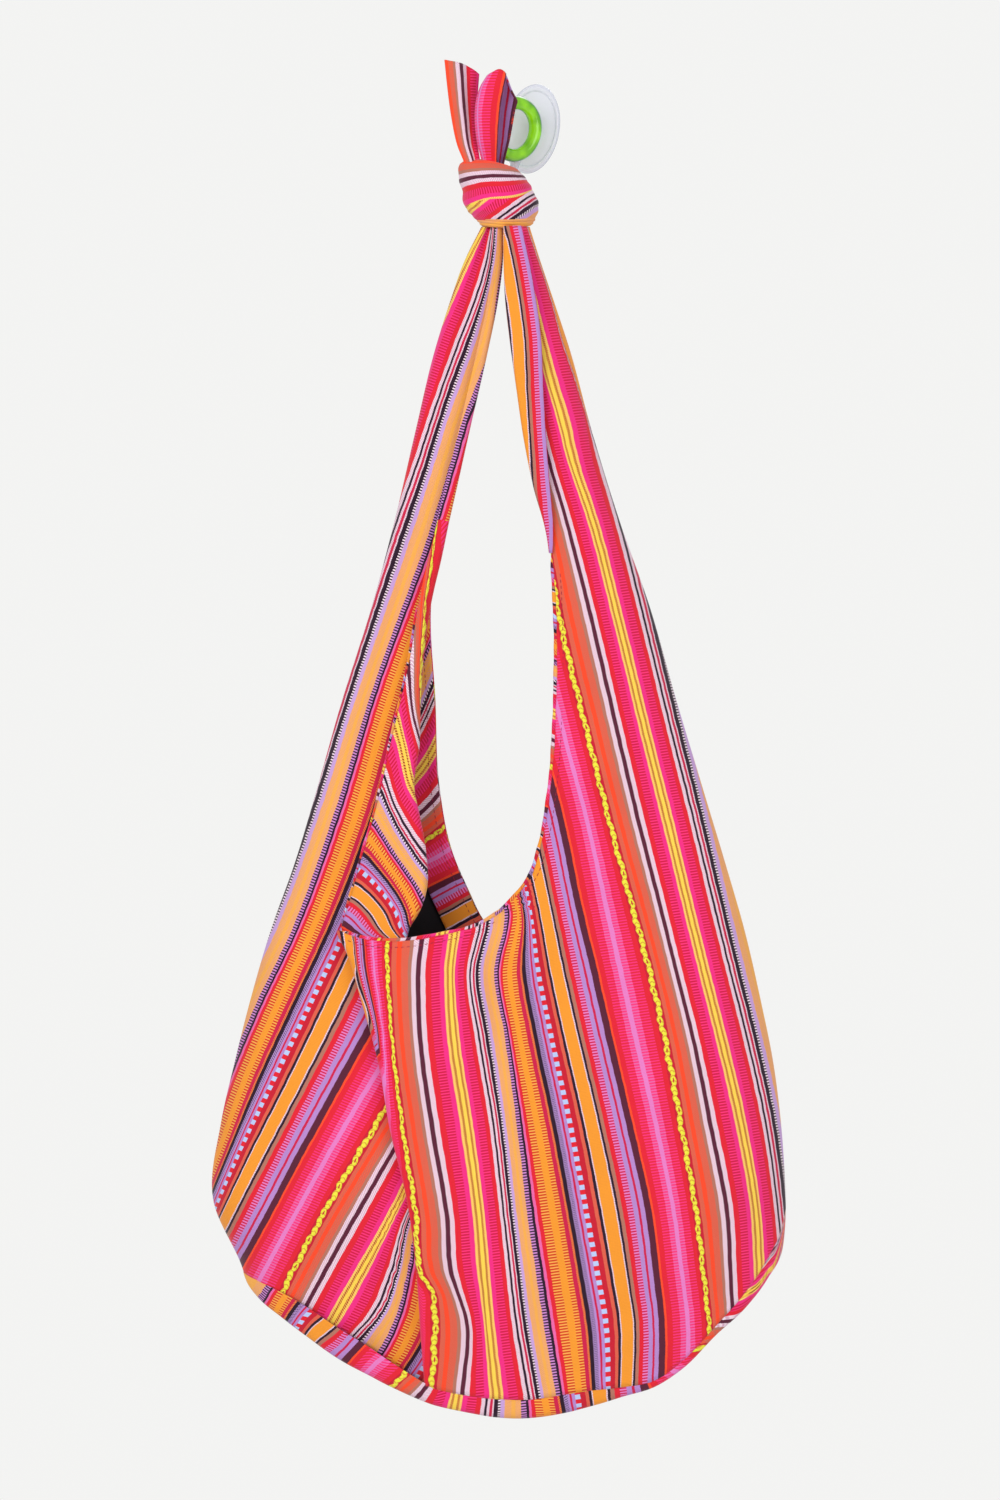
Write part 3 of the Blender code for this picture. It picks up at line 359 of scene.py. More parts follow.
@dataclass(frozen=True)
class BagShape:
    """The hanging bag's sides, hems and depths.

    The left side, the depths and the back mouth are the same as in the solids.
    The right strap's edges lie up to 5 mm further left, and the pleat's hidden
    fold up to 8 mm.  The base's left end is up to 10 mm shallower, and eight
    finer folds are added.
    """

    sheet: float = 2.0
    layer: float = 4.5
    piece_gap: float = 0.4
    seam_lap: float = 0.2
    corner: float = -532.0
    strap_top: float = -67.9
    strap_foot: float = -519.0
    back_foot: float = -515.0
    back_dip: float = 19.0
    back_rounding: float = 0.6
    sides: Table = Table(
        ("height", "left", "right", "back", "side", "front", "rounding"),
        (
            (-68.0, -34.0, -1.0, -25.0, -38.0, -52.0, 13.0),
            (-90.0, -45.0, 6.0, -23.0, -36.0, -51.0, 15.0),
            (-115.0, -54.0, 14.5, -20.0, -33.0, -50.0, 18.0),
            (-150.0, -65.0, 26.0, -17.0, -30.0, -48.0, 20.0),
            (-200.0, -77.0, 39.5, -13.0, -27.0, -46.0, 22.0),
            (-260.0, -91.0, 58.0, -10.0, -25.0, -45.0, 26.0),
            (-320.0, -107.0, 79.0, -8.0, -24.0, -45.0, 32.0),
            (-380.0, -126.0, 96.0, -7.0, -25.0, -47.0, 40.0),
            (-440.0, -143.0, 114.0, -6.0, -27.0, -51.0, 50.0),
            (-490.0, -158.0, 129.0, -6.0, -29.0, -56.0, 58.0),
            (-532.0, -173.0, 141.0, -6.0, -31.0, -61.0, 66.0),
            (-580.0, -187.0, 152.0, -6.0, -34.0, -68.0, 76.0),
            (-620.0, -197.0, 160.0, -6.0, -36.0, -74.0, 86.0),
            (-660.0, -206.0, 165.0, -6.0, -38.0, -80.0, 96.0),
            (-710.0, -211.0, 168.0, -6.0, -40.0, -86.0, 112.0),
            (-757.0, -191.0, 168.0, -6.0, -42.0, -90.0, 130.0),
            (-860.0, -191.0, 168.0, -6.0, -44.0, -92.0, 150.0),
        ),
    )
    pleat: Table = Table(
        ("height", "inner_fold", "outer_edge"),
        (
            (-68.0, -22.0, -26.0),
            (-90.0, -22.0, -26.5),
            (-115.0, -25.0, -29.0),
            (-150.0, -32.0, -36.5),
            (-200.0, -43.5, -48.0),
            (-260.0, -57.0, -62.5),
            (-320.0, -71.5, -76.0),
            (-350.0, -75.5, -80.5),
            (-380.0, -77.8, -87.0),
            (-410.0, -78.5, -94.0),
            (-438.0, -82.0, -100.0),
            (-458.0, -78.0, -105.0),
            (-480.0, -74.2, -111.5),
            (-507.0, -74.0, -119.0),
            (-519.0, -78.0, -122.5),
            (-532.0, -85.5, -126.0),
            (-545.0, -86.5, -120.0),
            (-580.0, -82.0, -109.0),
            (-620.0, -68.0, -98.0),
            (-660.0, -60.0, -91.0),
            (-710.0, -46.0, -79.0),
            (-757.0, -40.0, -73.0),
            (-800.0, -37.0, -70.0),
            (-860.0, -34.0, -65.0),
        ),
    )
    right_strap: Table = Table(
        ("height", "inner", "lapel"),
        (
            (-68.0, -16.0, 9.0),
            (-90.0, -16.0, 14.0),
            (-115.0, -15.0, 17.5),
            (-142.0, -12.0, 18.0),
            (-175.0, -7.5, 15.0),
            (-209.0, -2.5, 12.0),
            (-240.0, 3.8, 8.0),
            (-265.0, 10.0, 4.0),
            (-290.0, 13.0, 0.6),
            (-322.0, 15.0, 0.0),
            (-380.0, 15.0, 0.0),
            (-440.0, 11.0, 0.0),
            (-475.0, 5.0, 0.0),
            (-500.0, -4.0, 0.0),
            (-519.0, -21.0, 0.0),
        ),
    )
    hem: Table = Table(
        ("across", "height"),
        (
            (-127.0, -532.0),
            (-108.0, -537.0),
            (-87.0, -538.0),
            (-60.0, -534.0),
            (-34.0, -527.0),
            (-21.0, -519.0),
        ),
    )
    back_mouth: Table = Table(
        ("height", "left_edge", "right_edge"),
        (
            (-68.0, -25.5, -12.0),
            (-115.0, -26.0, -11.0),
            (-150.0, -33.0, -5.0),
            (-200.0, -46.0, 4.0),
            (-260.0, -60.0, 15.0),
            (-320.0, -67.0, 19.0),
            (-380.0, -64.0, 19.0),
            (-440.0, -61.0, 16.0),
            (-480.0, -53.0, 8.0),
            (-515.0, -38.0, -4.0),
        ),
    )
    base: Table = Table(
        ("across", "seam", "low"),
        (
            (-191.0, -757.0, -758.5),
            (-186.0, -760.0, -767.0),
            (-180.0, -763.0, -774.0),
            (-165.0, -770.0, -786.0),
            (-150.0, -778.0, -797.0),
            (-130.0, -791.0, -811.0),
            (-110.0, -803.0, -822.0),
            (-90.0, -816.0, -832.0),
            (-66.0, -830.0, -842.0),
            (-40.0, -836.0, -848.0),
            (-20.0, -838.0, -851.0),
            (0.0, -838.0, -851.0),
            (20.0, -835.0, -848.0),
            (40.0, -832.0, -843.0),
            (60.0, -830.0, -837.0),
            (80.0, -826.0, -831.0),
            (100.0, -812.0, -818.0),
            (120.0, -791.0, -798.0),
            (140.0, -769.0, -780.0),
            (155.0, -747.0, -761.0),
            (165.0, -725.0, -742.0),
            (168.0, -712.0, -730.0),
        ),
    )
    folds: Table = Table(
        ("top_across", "top_height", "low_across", "low_height", "half_width", "depth"),
        (
            (-24.0, -530.0, -20.0, -690.0, 10.0, 4.0),
            (6.0, -500.0, 46.0, -800.0, 15.0, 3.5),
            (66.0, -400.0, 112.0, -790.0, 18.0, 3.0),
            (-140.0, -540.0, -176.0, -745.0, 13.0, 3.0),
            (-52.0, -690.0, -44.0, -850.0, 9.0, 3.5),
            (-105.0, -660.0, -120.0, -820.0, 12.0, -2.5),
            (-44.0, -522.0, -34.0, -600.0, 7.0, -3.0),
            (-8.0, -512.0, 4.0, -620.0, 7.0, -2.5),
            (92.0, -330.0, 150.0, -760.0, 14.0, -2.0),
            (34.0, -420.0, 84.0, -820.0, 12.0, 2.0),
            (-70.0, -700.0, -66.0, -850.0, 6.0, -2.5),
            (-92.0, -735.0, -112.0, -845.0, 7.0, 2.0),
            (-140.0, -650.0, -172.0, -790.0, 9.0, -2.0),
            (132.0, -640.0, 158.0, -775.0, 9.0, 2.5),
        ),
    )
    fold_fade: float = 0.25
    pucker_waves: tuple[tuple[float, float, float], ...] = ((1.0, 4.6, 0.0), (0.6, 2.9, 1.3))
    pucker_depth: float = 0.45
    pucker_reach: float = 13.0

    def left_side(self, height: Array) -> Array:
        """Place of the cloth's middle at the left side seam."""
        return self.sides.curve("left", height) + self.sheet / 2

    def right_side(self, height: Array) -> Array:
        """Place of the cloth's middle at the right side seam."""
        return self.sides.curve("right", height) - self.sheet / 2

    def inner_fold(self, height: Array) -> Array:
        """The pleat's hidden fold, which is the left strap's edge above the mouth."""
        return self.pleat.curve("inner_fold", height)

    def flap_edge(self, height: Array) -> Array:
        """The flap's free hem above the corner, and the pleat's outer fold below it."""
        return self.pleat.curve("outer_edge", height)

    def pleat_edge(self, height: Array) -> Array:
        """The pleat's outer fold, which stops at the corner of the mouth."""
        return self.flap_edge(np.minimum(height, self.corner))

    def strap_inner(self, height: Array) -> Array:
        """The right strap's inner edge."""
        return self.right_strap.curve("inner", height)

    def front_hem(self, across: Array) -> Array:
        """Height of the front hem between the corner and the right strap."""
        return self.hem.curve("height", across)

    def seam(self, across: Array) -> Array:
        """Height of the seam over the base."""
        return self.base.curve("seam", across)

    def cloth_foot(self, across: Array) -> Array:
        """Height of the outer cloths' lower edge, just under the seam."""
        return self.seam(across) - self.seam_lap

    def rounding(self, across: Array, height: Array, radius: Array) -> Array:
        """Quarter circles at both sides, multiplied together."""
        return (quarter_round(across - self.left_side(height), radius)
                * quarter_round(self.right_side(height) - across, radius))

    def fold_depth(self, across: Array, height: Array) -> Array:
        """Add up the soft folds: each a bell across its line that fades at both ends."""
        total = np.zeros(np.broadcast(across, height).shape)
        for row in self.folds.rows:
            fold = dict(zip(self.folds.columns, row))
            drop = (height - fold["top_height"]) / (fold["low_height"] - fold["top_height"])
            middle = fold["top_across"] + (fold["low_across"] - fold["top_across"]) * drop
            along = soft_step(drop / self.fold_fade) * soft_step((1.0 - drop) / self.fold_fade)
            total = total + fold["depth"] * along * hump((across - middle) / fold["half_width"])
        return total

    def puckers(self, across: Array, height: Array) -> Array:
        """Small ripples above the base's seam: two sines across, fading upwards."""
        rise = height - self.seam(across)
        ripple = sum(size * np.sin(across / length + shift) for size, length, shift in self.pucker_waves)
        return self.pucker_depth * ripple * hump(rise / self.pucker_reach)

    def front_depth(self, across: Array, height: Array) -> Array:
        """Depth of the outermost front cloth: the side's depth, rounded out to the front's."""
        rounding = self.rounding(across, height, self.sides.curve("rounding", height))
        side = self.sides.curve("side", height) - self.piece_gap
        front = side + (self.sides.curve("front", height) - side) * rounding
        return front + self.fold_depth(across, height) * rounding + self.puckers(across, height)

    def back_depth(self, across: Array, height: Array) -> Array:
        """Depth of the back, rounded like the front with a smaller radius."""
        radius = self.back_rounding * self.sides.curve("rounding", height)
        side = self.sides.curve("side", height) + self.piece_gap
        return side + (self.sides.curve("back", height) - side) * self.rounding(across, height, radius)

    def under_depth(self, across: Array, height: Array) -> Array:
        """Depth of the pleat's innermost layer, which steps back two layers from the side."""
        reach = 0.5 * (self.inner_fold(height) - self.left_side(height))
        slope = soft_step((across - self.left_side(height)) / reach)
        return self.front_depth(across, height) + 2 * self.layer * slope

    def flap_depth(self, across: Array, height: Array) -> Array:
        """Depth of the pleat's middle layer."""
        return self.front_depth(across, height) + self.layer

    def mouth_bottom(self, across: Array) -> Array:
        """Height of the back mouth's rounded bottom, a parabola under its foot."""
        left = float(self.back_mouth.curve("left_edge", self.back_foot))
        right = float(self.back_mouth.curve("right_edge", self.back_foot))
        half = 0.5 * (right - left)
        t = np.clip((across - left - half) / half, -1.0, 1.0)
        return self.back_foot - self.back_dip * (1.0 - t * t)


SHAPE = BagShape()


def curve_height(edge_from: Curve, edge_to: Curve, parts: Array, curve: Curve) -> Array:
    """Heights where lines of cloth meet a curve across the bag, by repeated halving.

    Args:
        edge_from: the edge at part 0, by height.
        edge_to: the edge at part 1, by height.
        parts: each line's share of the way between the edges.
        curve: the height to meet, by place across the bag.

    Returns:
        A height for each line.
    """
    height = np.full(np.shape(parts), SHAPE.corner)
    for _ in range(60):
        across = edge_from(height) * (1.0 - parts) + edge_to(height) * parts
        height = 0.5 * (height + curve(across))
    return height


def lay(edge_from: Curve, edge_to: Curve, parts: Array, heights: Array, depth: Depth) -> Array:
    """Lay a grid of cloth between two edges: across = from·(1 - part) + to·part.

    Args:
        edge_from: the edge at part 0, by height.
        edge_to: the edge at part 1, by height.
        parts: a share for each line.
        heights: the heights of each line's points, one row for each line.
        depth: the depth at each place and height.

    Returns:
        Points in millimetres, by line, by row and by axis.
    """
    share = parts[:, None]
    across = edge_from(heights) * (1.0 - share) + edge_to(heights) * share
    return np.stack([across, depth(across, heights), heights], axis=-1)


def heights_between(stops: Sequence[Array], rows: Sequence[Array]) -> Array:
    """Heights of each line's points, from stop to stop.

    Args:
        stops: arrays with a height for each line.
        rows: fractions from 0 to 1 for each stretch between stops.

    Returns:
        Heights by line and by row.
    """
    parts = [stops[0][:, None]]
    for low, high, steps in zip(stops, stops[1:], rows):
        parts.append(low[:, None] + (high - low)[:, None] * steps[None, 1:])
    return np.concatenate(parts, axis=1)


def turn(first: Array, last: Array, bulge: float | Array, steps: int = 8) -> Array:
    """Carry cloth round a fold, by half a turn of an ellipse between two lines.

    Args:
        first: points of the first line.
        last: points of the last line.
        bulge: how far the fold stands out across the bag.
        steps: quads round the fold.

    Returns:
        The lines between and including both.
    """
    angle = math.pi * even(steps)[:, None, None]
    blend = 0.5 * (1.0 - np.cos(angle))
    points = first[None] * (1.0 - blend) + last[None] * blend
    points[..., 0] += bulge * np.sin(angle[..., 0])
    return points


@dataclass
class Patch:
    """A grid of points with its two cloth coordinates in millimetres."""

    points: Array
    stripe: Array
    along: Array

    def faces(self, start: int) -> Array:
        """Corner numbers of the grid's quads, from the first point's number."""
        lines, rows = self.points.shape[:2]
        index = start + np.arange(lines * rows).reshape(lines, rows)
        corners = (index[:-1, :-1], index[1:, :-1], index[1:, 1:], index[:-1, 1:])
        return np.stack(corners, axis=-1).reshape(-1, 4)


def weld(mesh: bpy.types.Mesh, distance: float = 2e-5) -> None:
    """Merge points that lie on each other and turn the faces one way."""
    work = bmesh.new()
    work.from_mesh(mesh)
    bmesh.ops.remove_doubles(work, verts=work.verts, dist=distance)
    bmesh.ops.recalc_face_normals(work, faces=work.faces)
    work.to_mesh(mesh)
    work.free()


@dataclass
class Piece:
    """One finished piece: patches of surface, welded, dressed and riding on the bag."""

    name: str
    patches: list[Patch]
    material: bpy.types.Material
    thickness: float = 1.2
    closed: bool = False

    def build(self) -> bpy.types.Object:
        """Make the mesh, its cloth coordinates and its thickness, and let it ride."""
        points = np.concatenate([patch.points.reshape(-1, 3) for patch in self.patches])
        sizes = [patch.points.shape[0] * patch.points.shape[1] for patch in self.patches]
        starts = np.concatenate([[0], np.cumsum(sizes)[:-1]])
        faces = np.concatenate([patch.faces(int(s)) for patch, s in zip(self.patches, starts)])
        stripe = np.concatenate([patch.stripe.ravel() for patch in self.patches])
        along = np.concatenate([patch.along.ravel() for patch in self.patches])

        mesh = bpy.data.meshes.new(self.name)
        mesh.from_pydata((points * MILLIMETRE).tolist(), [], faces.tolist())
        layer = mesh.uv_layers.new(name="cloth")
        corners = faces.ravel()
        values = np.column_stack([stripe[corners], along[corners]]) / CHART.repeat()
        layer.data.foreach_set("uv", values.astype(np.float32).ravel())
        weld(mesh)
        mesh.shade_smooth()
        mesh.materials.append(self.material)

        piece = bpy.data.objects.new(self.name, mesh)
        bpy.context.scene.collection.objects.link(piece)
        if not self.closed:
            shell = piece.modifiers.new("thickness", "SOLIDIFY")
            shell.thickness = self.thickness * MILLIMETRE
            shell.offset = 0.0
            shell.use_even_offset = True
        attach(piece, "root")
        LOG.info("%s: %d faces", self.name, len(mesh.polygons))
        return piece


# Finishes

class Bench:
    """A short way to wire shader nodes."""

    def __init__(self, name: str) -> None:
        """Start a material with a Principled shader."""
        self.material = bpy.data.materials.new(name)
        self.material.use_nodes = True
        self.tree = self.material.node_tree
        self.shader = self.tree.nodes["Principled BSDF"]

    def node(self, kind: str, **settings: object) -> bpy.types.Node:
        """Add a node and set its properties."""
        node = self.tree.nodes.new(kind)
        for key, value in settings.items():
            setattr(node, key, value)
        return node

    def join(self, value: object, socket: bpy.types.NodeSocket) -> None:
        """Link a socket to an input, or set the input to a number."""
        if isinstance(value, bpy.types.NodeSocket):
            self.tree.links.new(value, socket)
        else:
            socket.default_value = value

    def math(self, operation: str, *values: object, clamp: bool = False) -> bpy.types.NodeSocket:
        """Add a Math node and return its result."""
        node = self.node("ShaderNodeMath", operation=operation, use_clamp=clamp)
        for value, socket in zip(values, node.inputs):
            self.join(value, socket)
        return node.outputs[0]

    def mix(self, share: object, first: object, second: object,
            blend: str = "MIX") -> bpy.types.NodeSocket:
        """Mix two colours and return the result."""
        node = self.node("ShaderNodeMix", data_type="RGBA", blend_type=blend)
        for value, socket in ((share, node.inputs[0]), (first, node.inputs[6]), (second, node.inputs[7])):
            self.join(value, socket)
        return node.outputs[2]

    def noise(self, vector: object, scale: float, detail: float = 2.0) -> bpy.types.NodeSocket:
        """Add a noise and return its height."""
        node = self.node("ShaderNodeTexNoise")
        node.inputs["Scale"].default_value = scale
        node.inputs["Detail"].default_value = detail
        self.join(vector, node.inputs["Vector"])
        return node.outputs["Fac"]

    def wave(self, value: object, sharpness: float) -> bpy.types.NodeSocket:
        """A square wave with soft edges: half + sharpness·sin(2π·value), clamped."""
        turns = self.math("MULTIPLY", value, 2.0 * math.pi)
        sine = self.math("SINE", turns)
        return self.math("MULTIPLY_ADD", sine, sharpness, 0.5, clamp=True)

    def ramp(self, value: object, places: Array, colours: list) -> bpy.types.Node:
        """Add a colour ramp with hard steps at the given places."""
        node = self.node("ShaderNodeValToRGB")
        self.join(value, node.inputs["Fac"])
        steps = node.color_ramp
        steps.interpolation = "CONSTANT"
        steps.elements[0].position = float(places[0])
        steps.elements[0].color = colours[0]
        steps.elements[1].position = float(places[1])
        steps.elements[1].color = colours[1]
        for place, colour in zip(places[2:], colours[2:]):
            steps.elements.new(float(place)).color = colour
        return node

    def bump(self, height: object, strength: float, distance: float) -> None:
        """Give the shader a bump from a height."""
        node = self.node("ShaderNodeBump")
        node.inputs["Strength"].default_value = strength
        node.inputs["Distance"].default_value = distance
        self.join(height, node.inputs["Height"])
        self.join(node.outputs["Normal"], self.shader.inputs["Normal"])

    def set(self, **values: float) -> None:
        """Set the shader's own constant inputs, by their names with underscores."""
        for key, value in values.items():
            self.shader.inputs[key.replace("_", " ")].default_value = value


@dataclass(frozen=True)
class StripedCotton:
    """Woven cotton whose stripes follow the chart, with its bars, cords and chain."""

    bar_pitch: float = 1.88
    twist_pitch: float = 1.5
    square_pitch: float = 6.3
    link_pitch: float = 6.6
    chain_width: float = 4.1
    chain_sway: float = 3.7
    sway_reach: float = 0.45
    link_lean: float = 0.2
    link_sharpness: float = 6.0
    eye_every: float = 3.0
    eye_length: float = 3.6
    eye_width: float = 4.2
    ply_slant: float = 0.45
    bar_sharpness: float = 1.6
    twist_sharpness: float = 0.9
    square_sharpness: float = 9.0
    drift_scale: float = 22.0
    drift_reach: float = 0.9
    jitter_scale: float = 420.0
    jitter_reach: float = 0.35
    speckle_scale: float = 700.0
    speckle: float = 0.34
    darkest: float = 0.74
    thread_shade: float = 0.09
    wear_scale: float = 5.0
    wear: float = 0.12
    weft_pitch: float = 0.94
    warp_pitch: float = 0.62
    ramp_size: int = 24
    roughness: float = 0.86

    def chart_ramps(self, bench: Bench, place: object) -> tuple[object, object, object, object]:
        """Read the chart at a place in the repeat.

        Args:
            bench: the material's bench.
            place: share of the repeat, from 0 to 1.

        Returns:
            The ground colour, the accent colour, the weave's numbers and the chain's share.
        """
        starts = CHART.starts()
        ground, accent, weave, chain = None, None, None, None
        for first in range(0, len(starts), self.ramp_size):
            stripes = CHART.stripes[first:first + self.ramp_size]
            places = starts[first:first + self.ramp_size]
            grounds = bench.ramp(place, places, [s.ground.linear() for s in stripes])
            accents = bench.ramp(place, places, [s.accent.linear() for s in stripes])
            weaves = bench.ramp(place, places, [s.weave.value for s in stripes])
            if first == 0:
                ground, accent = grounds.outputs[0], accents.outputs[0]
                weave, chain = weaves.outputs[0], weaves.outputs[1]
            else:
                past = bench.math("GREATER_THAN", place, float(places[0]))
                ground = bench.mix(past, ground, grounds.outputs[0])
                accent = bench.mix(past, accent, accents.outputs[0])
                weave = bench.mix(past, weave, weaves.outputs[0])
                chain = bench.math("MULTIPLY", chain, bench.math("SUBTRACT", 1.0, past))
        return ground, accent, weave, chain

    def chain_links(self, bench: Bench, across: object, along: object) -> tuple[object, object]:
        """The chain's yarn: links |across| < half + half·|sin|, with an eye in every third link.

        Args:
            bench: the material's bench.
            across: millimetres from the stripe's start.
            along: millimetres along the stripe.

        Returns:
            The yarn's share and its raised height.
        """
        middle = CHART.stripes[0].width / 2
        sway = bench.math("SINE", bench.math("DIVIDE", along, self.chain_sway))
        shifted = bench.math("MULTIPLY_ADD", sway, self.sway_reach, bench.math("SUBTRACT", across, middle))
        side = bench.math("DIVIDE", shifted, self.chain_width / 2)
        reach = bench.math("ABSOLUTE", side)
        links = bench.math("DIVIDE", along, self.link_pitch)
        lean = bench.math("MULTIPLY_ADD", side, self.link_lean, links)
        sine = bench.math("SINE", bench.math("MULTIPLY", lean, math.pi))
        wide = bench.math("MULTIPLY_ADD", bench.math("ABSOLUTE", sine), 0.5, 0.5)
        spare = bench.math("SUBTRACT", wide, reach)
        inside = bench.math("MULTIPLY", spare, self.link_sharpness, clamp=True)
        eye_along = bench.math("PINGPONG", bench.math("ADD", links, 0.5), self.eye_every / 2)
        eye_reach = bench.math("MULTIPLY", eye_along, self.eye_length)
        square = bench.math("POWER", bench.math("MULTIPLY", reach, self.eye_width), 2.0)
        eye = bench.math("ADD", square, bench.math("POWER", eye_reach, 2.0))
        open_eye = bench.math("MULTIPLY", bench.math("SUBTRACT", eye, 0.5), 2.0, clamp=True)
        slant = bench.math("MULTIPLY_ADD", reach, self.ply_slant, bench.math("MULTIPLY", links, 2.0))
        groove = bench.math("ABSOLUTE", bench.math("SINE", bench.math("MULTIPLY", slant, math.pi)))
        ply = bench.math("MULTIPLY_ADD", groove, 1.5, 0.25, clamp=True)
        yarn = bench.math("MULTIPLY", inside, open_eye)
        dome = bench.math("SUBTRACT", 1.0, bench.math("MULTIPLY", reach, reach))
        return bench.math("MULTIPLY", yarn, ply), bench.math("MULTIPLY", yarn, dome)

    def material(self, name: str) -> bpy.types.Material:
        """Wire the cloth's nodes."""
        bench = Bench(name)
        repeat = CHART.repeat()
        cloth = bench.node("ShaderNodeUVMap", uv_map="cloth")
        parts = bench.node("ShaderNodeSeparateXYZ")
        bench.join(cloth.outputs[0], parts.inputs[0])
        along = bench.math("MULTIPLY", parts.outputs["Y"], repeat)
        drift = bench.noise(cloth.outputs[0], self.drift_scale)
        jitter = bench.noise(cloth.outputs[0], self.jitter_scale, 1.0)
        weft = bench.math("PINGPONG", along, self.weft_pitch / 2)
        shift = bench.math("MULTIPLY_ADD", bench.math("SUBTRACT", drift, 0.5), self.drift_reach,
                           bench.math("MULTIPLY", bench.math("SUBTRACT", jitter, 0.5), self.jitter_reach))
        shift = bench.math("MULTIPLY_ADD", weft, 0.5, shift)
        stripe = bench.math("ADD", parts.outputs["X"], bench.math("DIVIDE", shift, repeat))
        place = bench.math("FRACT", stripe)
        across = bench.math("MULTIPLY", place, repeat)
        ground, accent, weave, chain = self.chart_ramps(bench, place)

        weaves = bench.node("ShaderNodeSeparateColor")
        bench.join(weave, weaves.inputs[0])
        bar_wave = bench.wave(bench.math("DIVIDE", along, self.bar_pitch), self.bar_sharpness)
        laid = bench.math("ADD", along, across)
        twist_wave = bench.wave(bench.math("DIVIDE", laid, self.twist_pitch), self.twist_sharpness)
        square_wave = bench.wave(bench.math("DIVIDE", along, self.square_pitch), self.square_sharpness)
        links, link_height = self.chain_links(bench, across, along)
        share = bench.math("MULTIPLY", weaves.outputs[0], bar_wave)
        share = bench.math("MULTIPLY_ADD", weaves.outputs[1], twist_wave, share)
        share = bench.math("MULTIPLY_ADD", weaves.outputs[2], square_wave, share)
        share = bench.math("MULTIPLY_ADD", chain, links, share, clamp=True)
        colour = bench.mix(share, ground, accent)

        threads = bench.wave(bench.math("DIVIDE", along, self.weft_pitch), 0.5)
        warp = bench.wave(bench.math("DIVIDE", across, self.warp_pitch), 0.5)
        speckle = bench.noise(cloth.outputs[0], self.speckle_scale, 2.0)
        wear = bench.noise(cloth.outputs[0], self.wear_scale, 4.0)
        shade = bench.math("MULTIPLY_ADD", speckle, self.speckle, self.darkest)
        shade = bench.math("MULTIPLY_ADD", threads, self.thread_shade, shade)
        shade = bench.math("MULTIPLY_ADD", wear, self.wear, bench.math("SUBTRACT", shade, self.wear / 2))
        grey = bench.node("ShaderNodeCombineXYZ")
        for socket in grey.inputs:
            bench.join(shade, socket)
        colour = bench.mix(1.0, colour, grey.outputs[0], "MULTIPLY")
        bench.join(colour, bench.shader.inputs["Base Color"])

        relief = bench.math("MULTIPLY_ADD", threads, 0.25, bench.math("MULTIPLY", warp, 0.15))
        relief = bench.math("MULTIPLY_ADD", share, 0.25, relief)
        relief = bench.math("MULTIPLY_ADD", bench.math("MULTIPLY", chain, link_height), 3.0, relief)
        bench.bump(relief, 0.55, 0.0004)
        bench.set(Roughness=self.roughness, Sheen_Weight=0.18, Sheen_Roughness=0.5)
        bench.set(Specular_IOR_Level=0.25)
        return bench.material


@dataclass(frozen=True)
class PlainCotton:
    """A plain weave in one colour, with uneven yarn."""

    colour: tuple[float, float, float, float] = (0.010, 0.009, 0.011, 1.0)
    thread_pitch: float = 0.5

    def material(self, name: str) -> bpy.types.Material:
        """Wire the weave as crossed sine waves with speckled yarn."""
        bench = Bench(name)
        cloth = bench.node("ShaderNodeUVMap", uv_map="cloth")
        parts = bench.node("ShaderNodeSeparateXYZ")
        bench.join(cloth.outputs[0], parts.inputs[0])
        count = CHART.repeat() / self.thread_pitch
        warp = bench.wave(bench.math("MULTIPLY", parts.outputs["X"], count), 0.5)
        weft = bench.wave(bench.math("MULTIPLY", parts.outputs["Y"], count), 0.5)
        lint = bench.noise(cloth.outputs[0], 300.0, 3.0)
        pale = tuple(min(1.0, 2.6 * part + 0.004) for part in self.colour[:3]) + (1.0,)
        colour = bench.mix(lint, self.colour, pale)
        bench.join(colour, bench.shader.inputs["Base Color"])
        bench.bump(bench.math("MULTIPLY", warp, weft), 0.5, 0.0003)
        bench.set(Roughness=0.92, Sheen_Weight=0.1, Specular_IOR_Level=0.2)
        return bench.material


